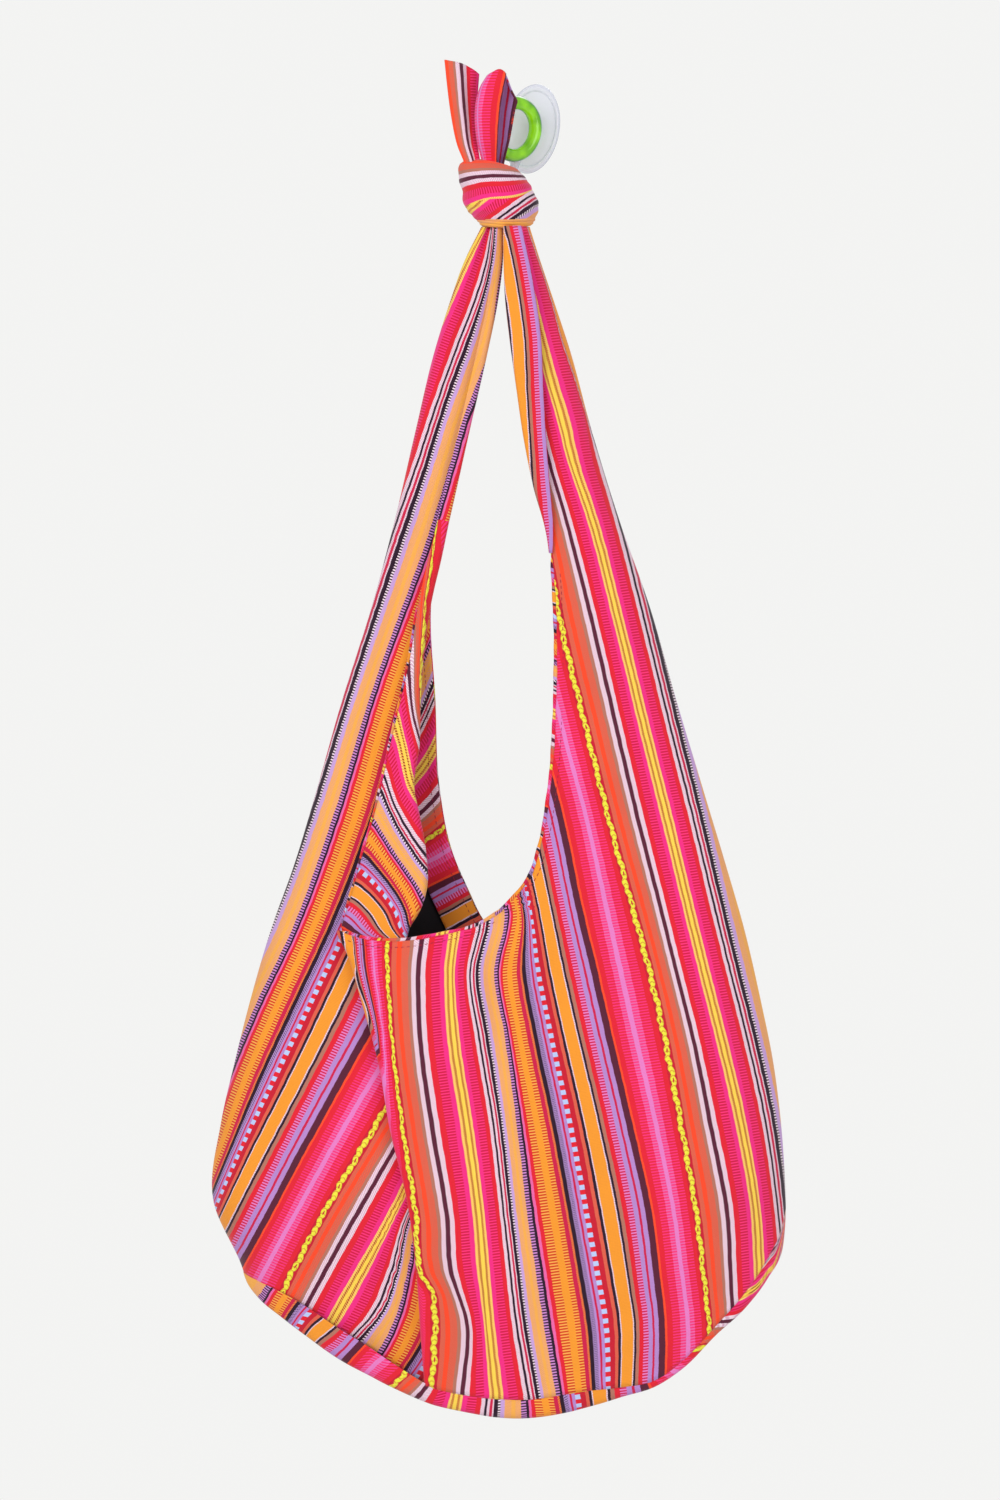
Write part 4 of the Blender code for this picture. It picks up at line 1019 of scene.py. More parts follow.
@dataclass(frozen=True)
class Plastic:
    """Polished see-through plastic with fine scratches; its colour has painted shade at the rims, painted
    patches of light and shade, and a painted shine sent out as emission.
    """

    colour: tuple[float, float, float, float]
    # The darker colour that the painted rim shade and the dark painted patches go towards.
    edge: tuple[float, float, float, float]
    clear: float
    alpha: float = 1.0
    roughness: float = 0.08
    # Strength of the painted shine: the colour sent out again as emission.
    painted_glow: float = 0.0
    # How strongly the painted patches of light and shade swing the colour.
    painted_light_patches: float = 0.2

    def material(self, name: str) -> bpy.types.Material:
        """Wire a colour that deepens to the rims as painted shade and in painted patches of light and
        shade, its emission as a painted shine, and the scratches' bump.
        """
        bench = Bench(name)
        place = bench.node("ShaderNodeTexCoord")
        drift = bench.noise(place.outputs["Object"], 90.0, 1.0)
        # Painted shade: the colour darkens where the surface turns away from the camera, standing in for
        # light bent through thick plastic at the rims.
        facing = bench.node("ShaderNodeLayerWeight")
        facing.inputs["Blend"].default_value = 0.35
        # Painted light and shade: a noise pushes the mix into bright and dark patches, like light caught
        # inside the plastic.
        painted_light_patches = bench.math("MULTIPLY_ADD", drift, self.painted_light_patches, -0.5 * self.painted_light_patches)
        share = bench.math("MULTIPLY_ADD", facing.outputs["Facing"], 1.4, painted_light_patches, clamp=True)
        colour = bench.mix(share, self.colour, self.edge)
        bench.join(colour, bench.shader.inputs["Base Color"])
        # Painted shine: the colour is also emitted, so the plastic gives off light though it is no lamp.
        bench.join(colour, bench.shader.inputs["Emission Color"])
        bench.set(Emission_Strength=self.painted_glow)
        scratches = bench.noise(place.outputs["Object"], 900.0, 3.0)
        bench.bump(scratches, 0.06, 0.0003)
        bench.set(Roughness=self.roughness, Transmission_Weight=self.clear, IOR=1.47)
        bench.set(Alpha=self.alpha, Coat_Weight=0.8)
        return bench.material


# Both plastics have painted shade at their rims and painted patches of light and shade in their colour;
# the green one also shines by emission, though it is no lamp.
CLEAR_PLASTIC = Plastic((0.86, 0.87, 0.97, 1.0), (0.58, 0.64, 0.84, 1.0), clear=0.1, alpha=0.55,
                        roughness=0.2)
GREEN_PLASTIC = Plastic((0.34, 0.86, 0.0, 1.0), (0.0, 0.20, 0.0, 1.0), clear=0.1, roughness=0.03,
                        painted_glow=0.14, painted_light_patches=2.4)
STITCH_THREAD = PlainCotton((0.22, 0.008, 0.03, 1.0))


# The outer cloth

FRONT_STRIPES = StripeLines(
    (("orange", 1), ("pink", 1), ("chain", 2), ("white and maroon", 2), ("yellow", 2),
     ("black and white", 2), ("purple bars", 2), ("orange bars", 2), ("squares", 2), ("orange", 2),
     ("maroon", 2), ("pink", 2), ("chain", 3), ("white and maroon", 3), ("yellow", 3), ("red", 3),
     ("black and white", 3), ("orange bars", 3)),
    (
        (-68, -286, -246, -230, -210, -189, -169, -151, -138, -115, -101, -76, -59, -43, -25, -10.5,
         -4, -3.6, -3.1),
        (-116, -277, -237, -221, -201, -180, -160, -142, -129, -106, -92, -67, -50, -34, -17, -1.5,
         11.9, 12.3, 12.8),
        (-143, -270.6, -230.6, -214.6, -194.6, -173.6, -153.6, -134.9, -121.9, -98.9, -84.9, -60.6,
         -43.6, -27.6, -9.9, 5, 19.1, 19.5, 20),
        (-169, -263.1, -223.1, -207.1, -187.1, -166.1, -146.1, -127.1, -114.1, -91.1, -77.1, -53.1,
         -36.1, -20.1, -2.9, 11.4, 27.9, 28.3, 28.8),
        (-195, -255, -215, -199, -179, -158, -138, -119, -106, -83, -69, -45, -28, -12, 4, 19, 35.9,
         36.3, 36.8),
        (-222, -246, -206, -190, -170, -149, -129, -110, -97, -74, -60, -36, -19, -4, 11, 25.8, 40.8,
         47.5, 60),
        (-260, -234, -194, -178, -158, -137, -117, -98, -85, -62, -48, -24, -7, 6, 22, 38.8, 51.9, 59, 90),
        (-330, -223, -183, -167, -148, -126, -106, -88, -75, -52, -38, -14, 3, 19, 40, 57, 69.9, 77, 108),
        (-400, -206, -166, -150, -131, -109, -89, -71, -58, -35, -21, 3, 20, 36, 56, 74, 86.9, 94, 125),
        (-460, -186, -146, -130, -110, -89, -69, -50, -38, -18, -5, 19, 36, 51, 70, 89, 101.9, 109, 140),
        (-519, -125, -109, -97.5, -73, -52, -32, -17, -9, -2, 8, 31, 49, 67, 85, 103, 115.9, 123, 154),
        (-560, -116.5, -104, -95.6, -75, -54, -39, -24, -15, 4, 16, 41, 58, 78, 95, 113, 125.9, 133, 164),
        (-600, -105, -98.5, -93, -74, -52, -33, -17, -9, 12, 25, 50, 67, 87, 105, 123, 135.9, 143, 174),
        (-660, -110, -95, -85.5, -66, -43, -23, -9, 3, 25, 39, 64, 81, 98, 117, 137, 149.3, 156, 187),
        (-720, -125, -89, -76, -56, -35, -16, -2, 14, 36, 51, 77, 93, 108, 128, 147, 158, 164, 195),
        (-757, -122.5, -86, -71.8, -53, -31.9, -11.7, 3.5, 20.2, 42.8, 57.2, 81.3, 97.9, 112.3, 129.8,
         148.8, 161, 167.7, 198.1),
        (-770, -121.7, -80.5, -64.5, -48.5, -30.8, -10.2, 5.5, 22.3, 45.2, 59.3, 82.8, 99.7, 113.8,
         130.5, 149.5, 162.1, 169, 199.2),
        (-780, -121, -81, -63.8, -44.5, -30, -9, 7, 24, 47, 61, 84, 101, 115, 131, 150, 162.9, 170, 200),
        (-838, -122, -82, -66, -46, -24, 1, 17, 31, 50, 61, 84, 101, 117, 137, 158, 170.9, 178, 208),
    ),
)
LEFT_STRIPES = StripeLines(
    (("yellow", 0), ("black and white", 0), ("purple bars", 0), ("orange bars", 0), ("squares", 0),
     ("orange", 0), ("maroon", 0), ("pink", 0), ("chain", 1), ("white and maroon", 1), ("yellow", 1),
     ("black and white", 1), ("purple bars", 1)),
    (
        (-68, -31.5, -25.5, -18.5, -6.2, 16.9, 31.4, 55.4, 72.3, 88.3, 108.3, 129.3, 149.3, 167.3),
        (-90, -43.4, -28, -19.8, -7.5, 15.5, 30, 54, 71, 87, 107, 128.1, 148.1, 166.1),
        (-116, -55.5, -35, -23.3, -11, 12, 26.5, 50.5, 67.5, 83.5, 103.5, 124.5, 144.6, 162.6),
        (-143, -67.5, -45.4, -26.2, -13.8, 9.2, 23.6, 47.6, 64.7, 80.7, 100.7, 121.7, 141.7, 159.7),
        (-169, -75, -55.4, -34.4, -22, 1, 15.5, 39.5, 56.5, 72.5, 92.5, 113.5, 133.4, 151.4),
        (-195, -84, -64.2, -44.4, -32, -9, 5.5, 29.5, 46.5, 62.5, 82.5, 103.5, 123.5, 141.4),
        (-222, -92.6, -72.7, -52.2, -39.9, -16.9, -2.4, 21.6, 38.6, 54.6, 74.7, 95.7, 115.7, 133.7),
        (-260, -105.7, -85.8, -63.5, -51, -28, -13, 11, 28, 44, 64, 85, 105, 123),
        (-380, -144.4, -124.5, -106.5, -94.5, -72, -58, -34, -17, -1, 20, 41, 61, 79),
        (-460, -169.9, -150, -131, -118, -95.5, -82, -58, -41, -25, -4, 17, 37, 55),
        (-532, -196.9, -177, -157, -145.5, -123, -109.5, -78, -58, -40, -20, 1, 21, 39),
        (-580, -219.9, -200, -180, -167.5, -146, -131.5, -98.5, -76, -55, -34, -12, 8, 26),
        (-630, -240.9, -221, -201, -189, -170, -156, -125.7, -105.5, -84.5, -63, -41, -20, -2),
        (-680, -258.9, -239, -219, -207, -193.5, -182, -152.8, -135, -114.5, -93.5, -72, -58, -46),
        (-720, -274.9, -255, -235, -223, -210.5, -202, -174, -157, -138, -116.5, -92.2, -81.5, -74),
        (-757, -291.9, -272, -252, -240, -226, -220, -194, -177, -157.5, -137, -113.5, -90, -82),
        (-783, -303.9, -284, -264, -252, -240, -232, -207, -190, -170, -151, -128.5, -101, -88),
        (-800, -311.9, -292, -272, -260, -248, -240, -216, -199, -178, -160, -138, -117, -95),
        (-838, -331.9, -312, -292, -280, -268, -260, -236, -219, -198, -181, -161, -145, -120),
    ),
)


def slant(points: Array, degrees: float) -> Array:
    """Distance along stripes that lean by an angle: z·cos - x·sin."""
    angle = math.radians(degrees)
    return points[..., 2] * math.cos(angle) - points[..., 0] * math.sin(angle)


@dataclass
class FrontPanel:
    """The front cloth: under the pleat, out and back over it, and up both straps."""

    low_rows: int = 84
    high_rows: int = 132
    under_lines: int = 52
    flap_lines: int = 14
    flap_blend: float = 60.0
    mouth_lines: int = 30
    strap_lines: int = 46
    lapel_lines: int = 8
    lapel_end: float = -284.0
    lapel_fade: float = 45.0
    lapel_stripes: float = 17.5
    lapel_stretch: float = 1.14
    hem_swell: float = 0.7
    hem_width: float = 5.0
    hem_edge: float = 1.5
    groove_depth: float = 0.5
    groove_width: float = 0.8
    groove_inset: float = 0.6
    roll_fade: float = 8.0
    roll_end: float = 40.0
    free_hem: float = 12.0
    lapel_low: float = 0.3
    under_slant: float = -22.0
    flap_slant: float = -15.0
    front_slant: float = 8.0
    lapel_slant: float = 6.0

    def hem_roll(self, distance: Array) -> Array:
        """How far a folded hem stands out: a swell up to its stitches, with a groove there."""
        swell = self.hem_swell * soft_step((self.hem_width + self.hem_edge - distance) / self.hem_edge)
        groove = hump((distance - self.hem_width + self.groove_inset) / self.groove_width)
        return swell - self.groove_depth * groove

    def shown_stripes(self, points: Array, hidden: Array) -> Array:
        """The left part's stripes above the corner, fading to the hidden ones at it."""
        shown = soft_step((points[..., 2] - SHAPE.corner) / self.flap_blend)
        return hidden + (LEFT_STRIPES.coordinate(points[..., 0], points[..., 2]) - hidden) * shown

    def pleats(self) -> list[Patch]:
        """The layers under the front: the left part and the flap, with the fold between."""
        rows = (even(self.low_rows), even(self.high_rows))

        def grid(edge_from: Curve, edge_to: Curve, parts: Array, depth: Depth) -> Array:
            """Lay one layer from the base's seam to the top of the strap."""
            low = curve_height(edge_from, edge_to, parts, SHAPE.cloth_foot)
            stops = (low, np.full_like(low, SHAPE.corner), np.full_like(low, SHAPE.strap_top))
            return lay(edge_from, edge_to, parts, heights_between(stops, rows), depth)

        under = grid(SHAPE.left_side, SHAPE.inner_fold, dense_start(self.under_lines), SHAPE.under_depth)
        flap = grid(SHAPE.inner_fold, SHAPE.flap_edge, even(self.flap_lines), SHAPE.flap_depth)
        bend = turn(under[-1], flap[0], SHAPE.layer / 2)
        under_stripe = LEFT_STRIPES.coordinate(under[..., 0], under[..., 2])
        edge = flap[-1]
        edge_stripe = FRONT_STRIPES.coordinate(edge[:, 0], edge[:, 2]) - SHAPE.layer * math.pi / 2
        share = even(self.flap_lines)[:, None]
        start_stripe = under_stripe[-1] + SHAPE.layer * math.pi / 2
        hidden_stripe = start_stripe * (1.0 - share) + edge_stripe * share
        bend_share = even(len(bend) - 1)[:, None]
        hidden_bend = under_stripe[-1] * (1.0 - bend_share) + start_stripe * bend_share
        return [Patch(under, under_stripe, slant(under, self.under_slant)),
                Patch(bend, self.shown_stripes(bend, hidden_bend), slant(bend, self.under_slant)),
                Patch(flap, self.shown_stripes(flap, hidden_stripe), slant(flap, self.flap_slant))]

    def over(self) -> Patch:
        """The front over the pleat, from the seam up to the mouth and the strap's foot."""
        foot = SHAPE.strap_foot
        whole = SHAPE.right_side(foot) - SHAPE.pleat_edge(foot)
        strap_part = float((SHAPE.strap_inner(foot) - SHAPE.pleat_edge(foot)) / whole)
        mouth = strap_part * even(self.mouth_lines)[:-1]
        strap = strap_part + (1.0 - strap_part) * dense_end(self.strap_lines)
        parts = np.concatenate([mouth, strap])
        low = curve_height(SHAPE.pleat_edge, SHAPE.right_side, parts, SHAPE.cloth_foot)
        high = curve_height(SHAPE.pleat_edge, SHAPE.right_side, mouth, SHAPE.front_hem)
        high = np.concatenate([high, np.full(len(strap), foot)])
        heights = heights_between((low, high), (even(self.low_rows),))
        points = lay(SHAPE.pleat_edge, SHAPE.right_side, parts, heights, SHAPE.front_depth)
        hem_from, hem_to = SHAPE.hem.column("across")[[0, -1]]
        below = SHAPE.front_hem(np.clip(points[..., 0], hem_from, hem_to)) - points[..., 2]
        past = soft_step((points[..., 0] - hem_to) / self.roll_fade)
        points[..., 1] -= self.hem_roll(below + self.roll_end * past)
        stripe = FRONT_STRIPES.coordinate(points[..., 0], points[..., 2])
        return Patch(points, stripe, slant(points, self.front_slant))

    def outer_bend(self, flap: Patch, over: Patch) -> Patch:
        """The pleat's outer fold, from the flap's edge round to the front."""
        rows = self.low_rows + 1
        bend = turn(flap.points[-1][:rows], over.points[0], -SHAPE.layer / 2)
        share = even(len(bend) - 1)[:, None]
        stripe = flap.stripe[-1][:rows] * (1.0 - share) + over.stripe[0] * share
        along = flap.along[-1][:rows] * (1.0 - share) + over.along[0] * share
        return Patch(bend, stripe, along)

    def strap(self) -> Patch:
        """The right strap, from its foot to the knot."""
        parts = dense_end(self.strap_lines)
        foot = np.full(len(parts), SHAPE.strap_foot)
        top = np.full(len(parts), SHAPE.strap_top)
        heights = heights_between((foot, top), (even(self.high_rows),))
        points = lay(SHAPE.strap_inner, SHAPE.right_side, parts, heights, SHAPE.front_depth)
        distance = points[..., 0] - SHAPE.strap_inner(points[..., 2])
        free = soft_step((self.lapel_end - points[..., 2]) / self.free_hem)
        points[..., 1] -= self.hem_roll(distance) * free
        stripe = FRONT_STRIPES.coordinate(points[..., 0], points[..., 2])
        return Patch(points, stripe, slant(points, self.front_slant))

    def lapel(self, strap: Patch) -> list[Patch]:
        """The right strap's hem, turned out over it from the knot downwards."""
        hem = strap.points[0]
        first = int(np.argmax(hem[:, 2] > self.lapel_end))
        hem = hem[first:]
        reach = SHAPE.right_strap.curve("lapel", hem[:, 2])
        share = even(self.lapel_lines)[:, None]
        growth = soft_step((hem[:, 2] - self.lapel_end) / self.lapel_fade)
        rise = SHAPE.layer * (self.lapel_low + (1.0 - self.lapel_low) * growth)
        depth = hem[:, 1] - rise - self.hem_roll(reach * (1.0 - share))
        height = np.broadcast_to(hem[:, 2], depth.shape)
        points = np.stack([hem[:, 0] + reach * share, depth, height], axis=-1)
        bend = turn(hem, points[0], -rise / 2)
        edge_stripe = CHART.place("orange", 0) + self.lapel_stripes
        stripe = edge_stripe - self.lapel_stretch * reach * (1.0 - share)
        arc = SHAPE.layer * math.pi / 2
        bend_stripe = stripe[0] - arc * (1.0 - even(len(bend) - 1)[:, None])
        return [Patch(bend, bend_stripe, slant(bend, self.lapel_slant)),
                Patch(points, stripe, slant(points, self.lapel_slant))]

    def build(self, finish: bpy.types.Material) -> bpy.types.Object:
        """Make the front cloth in place of its solid."""
        pleats = self.pleats()
        over = self.over()
        strap = self.strap()
        patches = pleats + [self.outer_bend(pleats[-1], over), over, strap] + self.lapel(strap)
        piece = Piece("front_cloth", patches, finish).build()
        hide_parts("front_panel")
        return piece


@dataclass
class HemRolls:
    """The facing's edge, rolled over the hems of the mouth as a thin round binding."""

    radius: float = 1.35
    around: int = 12
    flap_top: float = -316.0
    taper: float = 12.0
    stripe_shift: float = 6.0
    turn_across: float = 3.0
    turn_along: float = 8.0
    strap_slope: float = 1.1
    flap_slope: float = 1.15
    flap_start: float = -506.0
    corner_room: float = 2.0

    def roll(self, path: Array, stripe: Array) -> Patch:
        """A tube along a hem, whose cloth goes round it with its stripes slanted."""
        along = np.gradient(path, axis=0)
        along /= np.linalg.norm(along, axis=1)[:, None]
        side = np.cross(along, [0.0, 1.0, 0.0])
        side /= np.linalg.norm(side, axis=1)[:, None]
        normal = np.cross(side, along)
        length = np.concatenate([[0.0], np.cumsum(np.linalg.norm(np.diff(path, axis=0), axis=1))])
        thick = self.radius * (0.9 + 0.1 * np.sin(length / 2.7) + 0.08 * np.sin(length / 7.0))
        thick *= quarter_round(np.minimum(length, length[-1] - length) + 0.05, np.array(self.taper))
        points = tube(path, normal, side, thick, self.around)
        turned = even(self.around)[None, :]
        return Patch(points, stripe[:, None] + self.turn_across * turned,
                     length[:, None] + self.turn_along * turned)

    def build(self, front: FrontPanel, finish: bpy.types.Material) -> bpy.types.Object:
        """Roll the front mouth's hem, the right strap's hem and the flap's hem."""
        flap = front.pleats()[-1]
        over = front.over()
        strap = front.strap()
        mouth = over.points[:front.mouth_lines, -1]
        hem = strap.points[0][strap.points[0][:, 2] < front.lapel_end]
        path = np.concatenate([mouth, hem])
        stripe = np.concatenate([
            FRONT_STRIPES.coordinate(mouth[:, 0], mouth[:, 2]) + self.stripe_shift,
            FRONT_STRIPES.coordinate(mouth[-1:, 0], mouth[-1:, 2]) + self.stripe_shift
            + self.strap_slope * (hem[:, 2] - hem[0, 2]),
        ])
        edge = flap.points[-1]
        free = (edge[:, 2] > SHAPE.corner + self.corner_room) & (edge[:, 2] < self.flap_top)
        facing = CHART.place("orange", 0) + self.flap_slope * (edge[free, 2] - self.flap_start)
        patches = [self.roll(path, stripe), self.roll(edge[free], facing)]
        piece = Piece("hem_rolls", patches, finish, closed=True).build()
        return piece


@dataclass
class BackPanel:
    """The back cloth, cut round its mouth."""

    low_rows: int = 70
    high_rows: int = 110
    strap_lines: int = 34
    mouth_lines: int = 16
    blend: float = 150.0

    def stripes(self, points: Array) -> Array:
        """Stripes that follow each side, blended by a soft step across the middle."""
        across, height = points[..., 0], points[..., 2]
        left = across - SHAPE.left_side(height)
        right = across - SHAPE.right_side(height) + 2.0 * CHART.repeat()
        middle = 0.5 * (SHAPE.left_side(height) + SHAPE.right_side(height))
        share = soft_step((across - middle) / self.blend + 0.5)
        return left * (1.0 - share) + right * share + CHART.place("squares", 0)

    def build(self, finish: bpy.types.Material) -> bpy.types.Object:
        """Make the back cloth in place of its solid."""
        foot = SHAPE.back_foot
        left_edge = float(SHAPE.back_mouth.curve("left_edge", foot))
        right_edge = float(SHAPE.back_mouth.curve("right_edge", foot))
        left_side, right_side = float(SHAPE.left_side(foot)), float(SHAPE.right_side(foot))
        left_part = (left_edge - left_side) / (right_side - left_side)
        right_part = (right_edge - left_side) / (right_side - left_side)
        mouth = left_part + (right_part - left_part) * even(self.mouth_lines)[1:-1]
        left = left_part * dense_start(self.strap_lines)
        right = right_part + (1.0 - right_part) * dense_end(self.strap_lines)
        parts = np.concatenate([left, mouth, right])
        low = curve_height(SHAPE.left_side, SHAPE.right_side, parts, SHAPE.cloth_foot)
        dip = curve_height(SHAPE.left_side, SHAPE.right_side, mouth, SHAPE.mouth_bottom)
        high = np.concatenate([np.full(len(left), foot), dip, np.full(len(right), foot)])
        heights = heights_between((low, high), (even(self.low_rows),))
        lower = lay(SHAPE.left_side, SHAPE.right_side, parts, heights, SHAPE.back_depth)

        patches = [Patch(lower, self.stripes(lower), slant(lower, 0.0))]
        left_hem: Curve = lambda z: SHAPE.back_mouth.curve("left_edge", z)
        right_hem: Curve = lambda z: SHAPE.back_mouth.curve("right_edge", z)
        straps = ((SHAPE.left_side, left_hem, dense_start(self.strap_lines)),
                  (right_hem, SHAPE.right_side, dense_end(self.strap_lines)))
        for edge_from, edge_to, shares in straps:
            stops = (np.full(len(shares), foot), np.full(len(shares), SHAPE.strap_top))
            heights = heights_between(stops, (even(self.high_rows),))
            points = lay(edge_from, edge_to, shares, heights, SHAPE.back_depth)
            patches.append(Patch(points, self.stripes(points), slant(points, 0.0)))
        piece = Piece("back_cloth", patches, finish).build()
        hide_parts("back_panel")
        return piece


@dataclass
class BasePanel:
    """The base's cloth, whose front edge shows as a band under the seam."""

    lines: int = 130
    steps: int = 44
    end_room: float = 1.05
    end_rounding: float = 3.0
    section: Table = Table(
        ("step", "room", "drop", "sag"),
        (
            (0.0, 0.004, -0.03, 0.0),
            (1.0, 0.002, 0.06, 0.0),
            (2.0, 0.004, 0.5, 0.0),
            (3.0, 0.018, 0.88, 0.0),
            (4.0, 0.07, 1.0, 0.2),
            (5.0, 0.28, 1.0, 0.8),
            (6.0, 0.55, 1.0, 0.8),
            (7.0, 0.80, 1.0, 0.0),
            (8.0, 0.965, 0.98, -0.6),
            (9.0, 1.0, 0.5, 0.0),
            (10.0, 1.0, 0.0, 0.0),
        ),
    )
    stripes: Table = Table(
        ("across", "stripe"),
        (
            (-183.0, CHART.place("peach", 0)),
            (-173.0, CHART.place("purple bars", 0)),
            (-162.0, CHART.place("orange bars", 0)),
            (-145.0, CHART.place("squares", 0)),
            (-134.0, CHART.place("orange", 0)),
            (-112.0, CHART.place("maroon", 0)),
            (-98.0, CHART.place("pink", 0)),
            (-82.0, CHART.place("chain", 1)),
            (-69.0, CHART.place("white and maroon", 1)),
            (-50.0, CHART.place("yellow", 1)),
            (-27.0, CHART.place("black and white", 1)),
            (-6.0, CHART.place("purple bars", 1)),
            (8.0, CHART.place("orange bars", 1)),
            (29.0, CHART.place("squares", 1)),
            (43.0, CHART.place("orange", 1)),
            (73.0, CHART.place("maroon", 1)),
            (91.0, CHART.place("pink", 1)),
            (107.0, CHART.place("chain", 2)),
            (168.0, CHART.place("purple bars", 2)),
        ),
    )

    def build(self, finish: bpy.types.Material) -> bpy.types.Object:
        """Sweep the section from end to end, with both ends rounded off, in place of its solid."""
        first = SHAPE.base.rows[0][0] + self.end_room
        last = SHAPE.base.rows[-1][0] - self.end_room
        across = 0.5 * (first + last) - 0.5 * (last - first) * np.cos(math.pi * even(self.lines))
        seam = SHAPE.seam(across)
        low = SHAPE.base.curve("low", across) + SHAPE.sheet / 2
        front = SHAPE.front_depth(across, seam)
        back = SHAPE.back_depth(across, seam)
        step = 10.0 * even(self.steps)
        room, drop, sag = (self.section.curve(name, step) for name in ("room", "drop", "sag"))
        depth = front[:, None] + (back - front)[:, None] * room
        room_left = np.minimum(across - first, last - across)
        closing = quarter_round(room_left, np.array(self.end_rounding))[:, None]
        height = seam[:, None] + ((low - seam)[:, None] * drop - sag) * closing
        lines = np.broadcast_to(across[:, None], depth.shape)
        points = np.stack([lines, depth, height], axis=-1)
        lean = np.gradient(seam, across)[:, None] * (seam[:, None] - height)
        stripe = np.interp(lines - lean, self.stripes.column("across"), self.stripes.column("stripe"))
        along = depth - height
        piece = Piece("base_cloth", [Patch(points, stripe, along)], finish).build()
        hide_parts("base_panel")
        return piece


# What shows inside the mouth

@dataclass
class FlapFacing:
    """The striped facing on the turned out flap of the left strap."""

    top: float = -256.0
    low: float = -556.0
    hem_room: float = 0.5
    room: float = 1.6
    tuck: float = 5.0
    tuck_height: float = 10.0
    stripe_bend: float = 1.25
    fade: float = 40.0
    lines: int = 16
    rows: int = 96
    stripes: Table = Table(
        ("stripe", "at_hem", "at_fold"),
        (
            (CHART.place("pink", -1), -236.0, -100.0),
            (CHART.place("chain", 0), -262.0, -386.0),
            (CHART.place("white and maroon", 0), -360.0, -406.0),
            (CHART.place("yellow", 0), -393.5, -438.0),
            (CHART.place("black and white", 0), -435.5, -489.5),
            (CHART.place("purple bars", 0), -460.0, -512.0),
            (CHART.place("orange bars", 0), -470.5, -524.0),
            (CHART.place("squares", 0), -492.4, -537.0),
            (CHART.place("orange", 0), -505.6, -547.0),
            (CHART.place("maroon", 0), -527.0, -572.0),
            (CHART.place("pink", 0), -542.0, -590.0),
        ),
    )

    def hem(self, height: Array) -> Array:
        """The hem's line, which tucks in below the corner."""
        tuck = self.tuck * soft_step((SHAPE.corner - height) / self.tuck_height)
        return SHAPE.flap_edge(height) + self.hem_room + tuck

    def clearance(self, height: Array) -> Array:
        """Room over the flap, which fades to nothing at the facing's top."""
        return self.room * soft_step((self.top - height) / self.fade)

    def depth(self, across: Array, height: Array) -> Array:
        """In front of the flap, with a rolled hem."""
        distance = across - self.hem(height)
        roll = 0.5 * soft_step((6.5 - distance) / 1.5) - 0.4 * hump((distance - 4.6) / 0.8)
        room = self.clearance(height)
        return SHAPE.flap_depth(across, height) - room - roll * room / self.room

    def build(self, finish: bpy.types.Material) -> bpy.types.Object:
        """Lay the facing from its hem to the flap's fold and round it, in place of its solid."""
        parts = even(self.lines)
        stops = (np.full(len(parts), self.low), np.full(len(parts), self.top))
        heights = heights_between(stops, (even(self.rows),))
        flat = lay(self.hem, SHAPE.inner_fold, parts, heights, self.depth)
        inside = flat[-1].copy()
        room = self.clearance(inside[:, 2])
        inside[:, 1] = SHAPE.under_depth(inside[:, 0], inside[:, 2]) + room
        wrap = turn(flat[-1], inside, SHAPE.layer / 2 + room)
        points = np.concatenate([flat, wrap[1:]])
        height = points[..., 2]
        hem = self.hem(height)
        reach = SHAPE.inner_fold(height) + SHAPE.layer / 2 + self.clearance(height) - hem
        share = (points[..., 0] - hem) / reach
        behind = len(flat) + len(wrap) // 2
        share[behind:] = 2.0 - share[behind:]
        share = np.maximum(share, 0.0) ** self.stripe_bend
        names = self.stripes.column("stripe")
        lines = [at_hem * (1.0 - share) + at_fold * share
                 for at_hem, at_fold in zip(self.stripes.column("at_hem"), self.stripes.column("at_fold"))]
        stripe = names[0] + np.minimum(lines[0] - height, 0.0) + np.maximum(lines[-1] - height, 0.0)
        for k in range(len(lines) - 1):
            step = np.clip((lines[k] - height) / (lines[k] - lines[k + 1]), 0.0, 1.0)
            stripe = stripe + (names[k + 1] - names[k]) * step
        along = points[..., 0] * 0.8 - height * 0.6
        piece = Piece("flap_facing_cloth", [Patch(points, stripe, along)], finish, 1.0).build()
        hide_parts("flap_facing")
        return piece


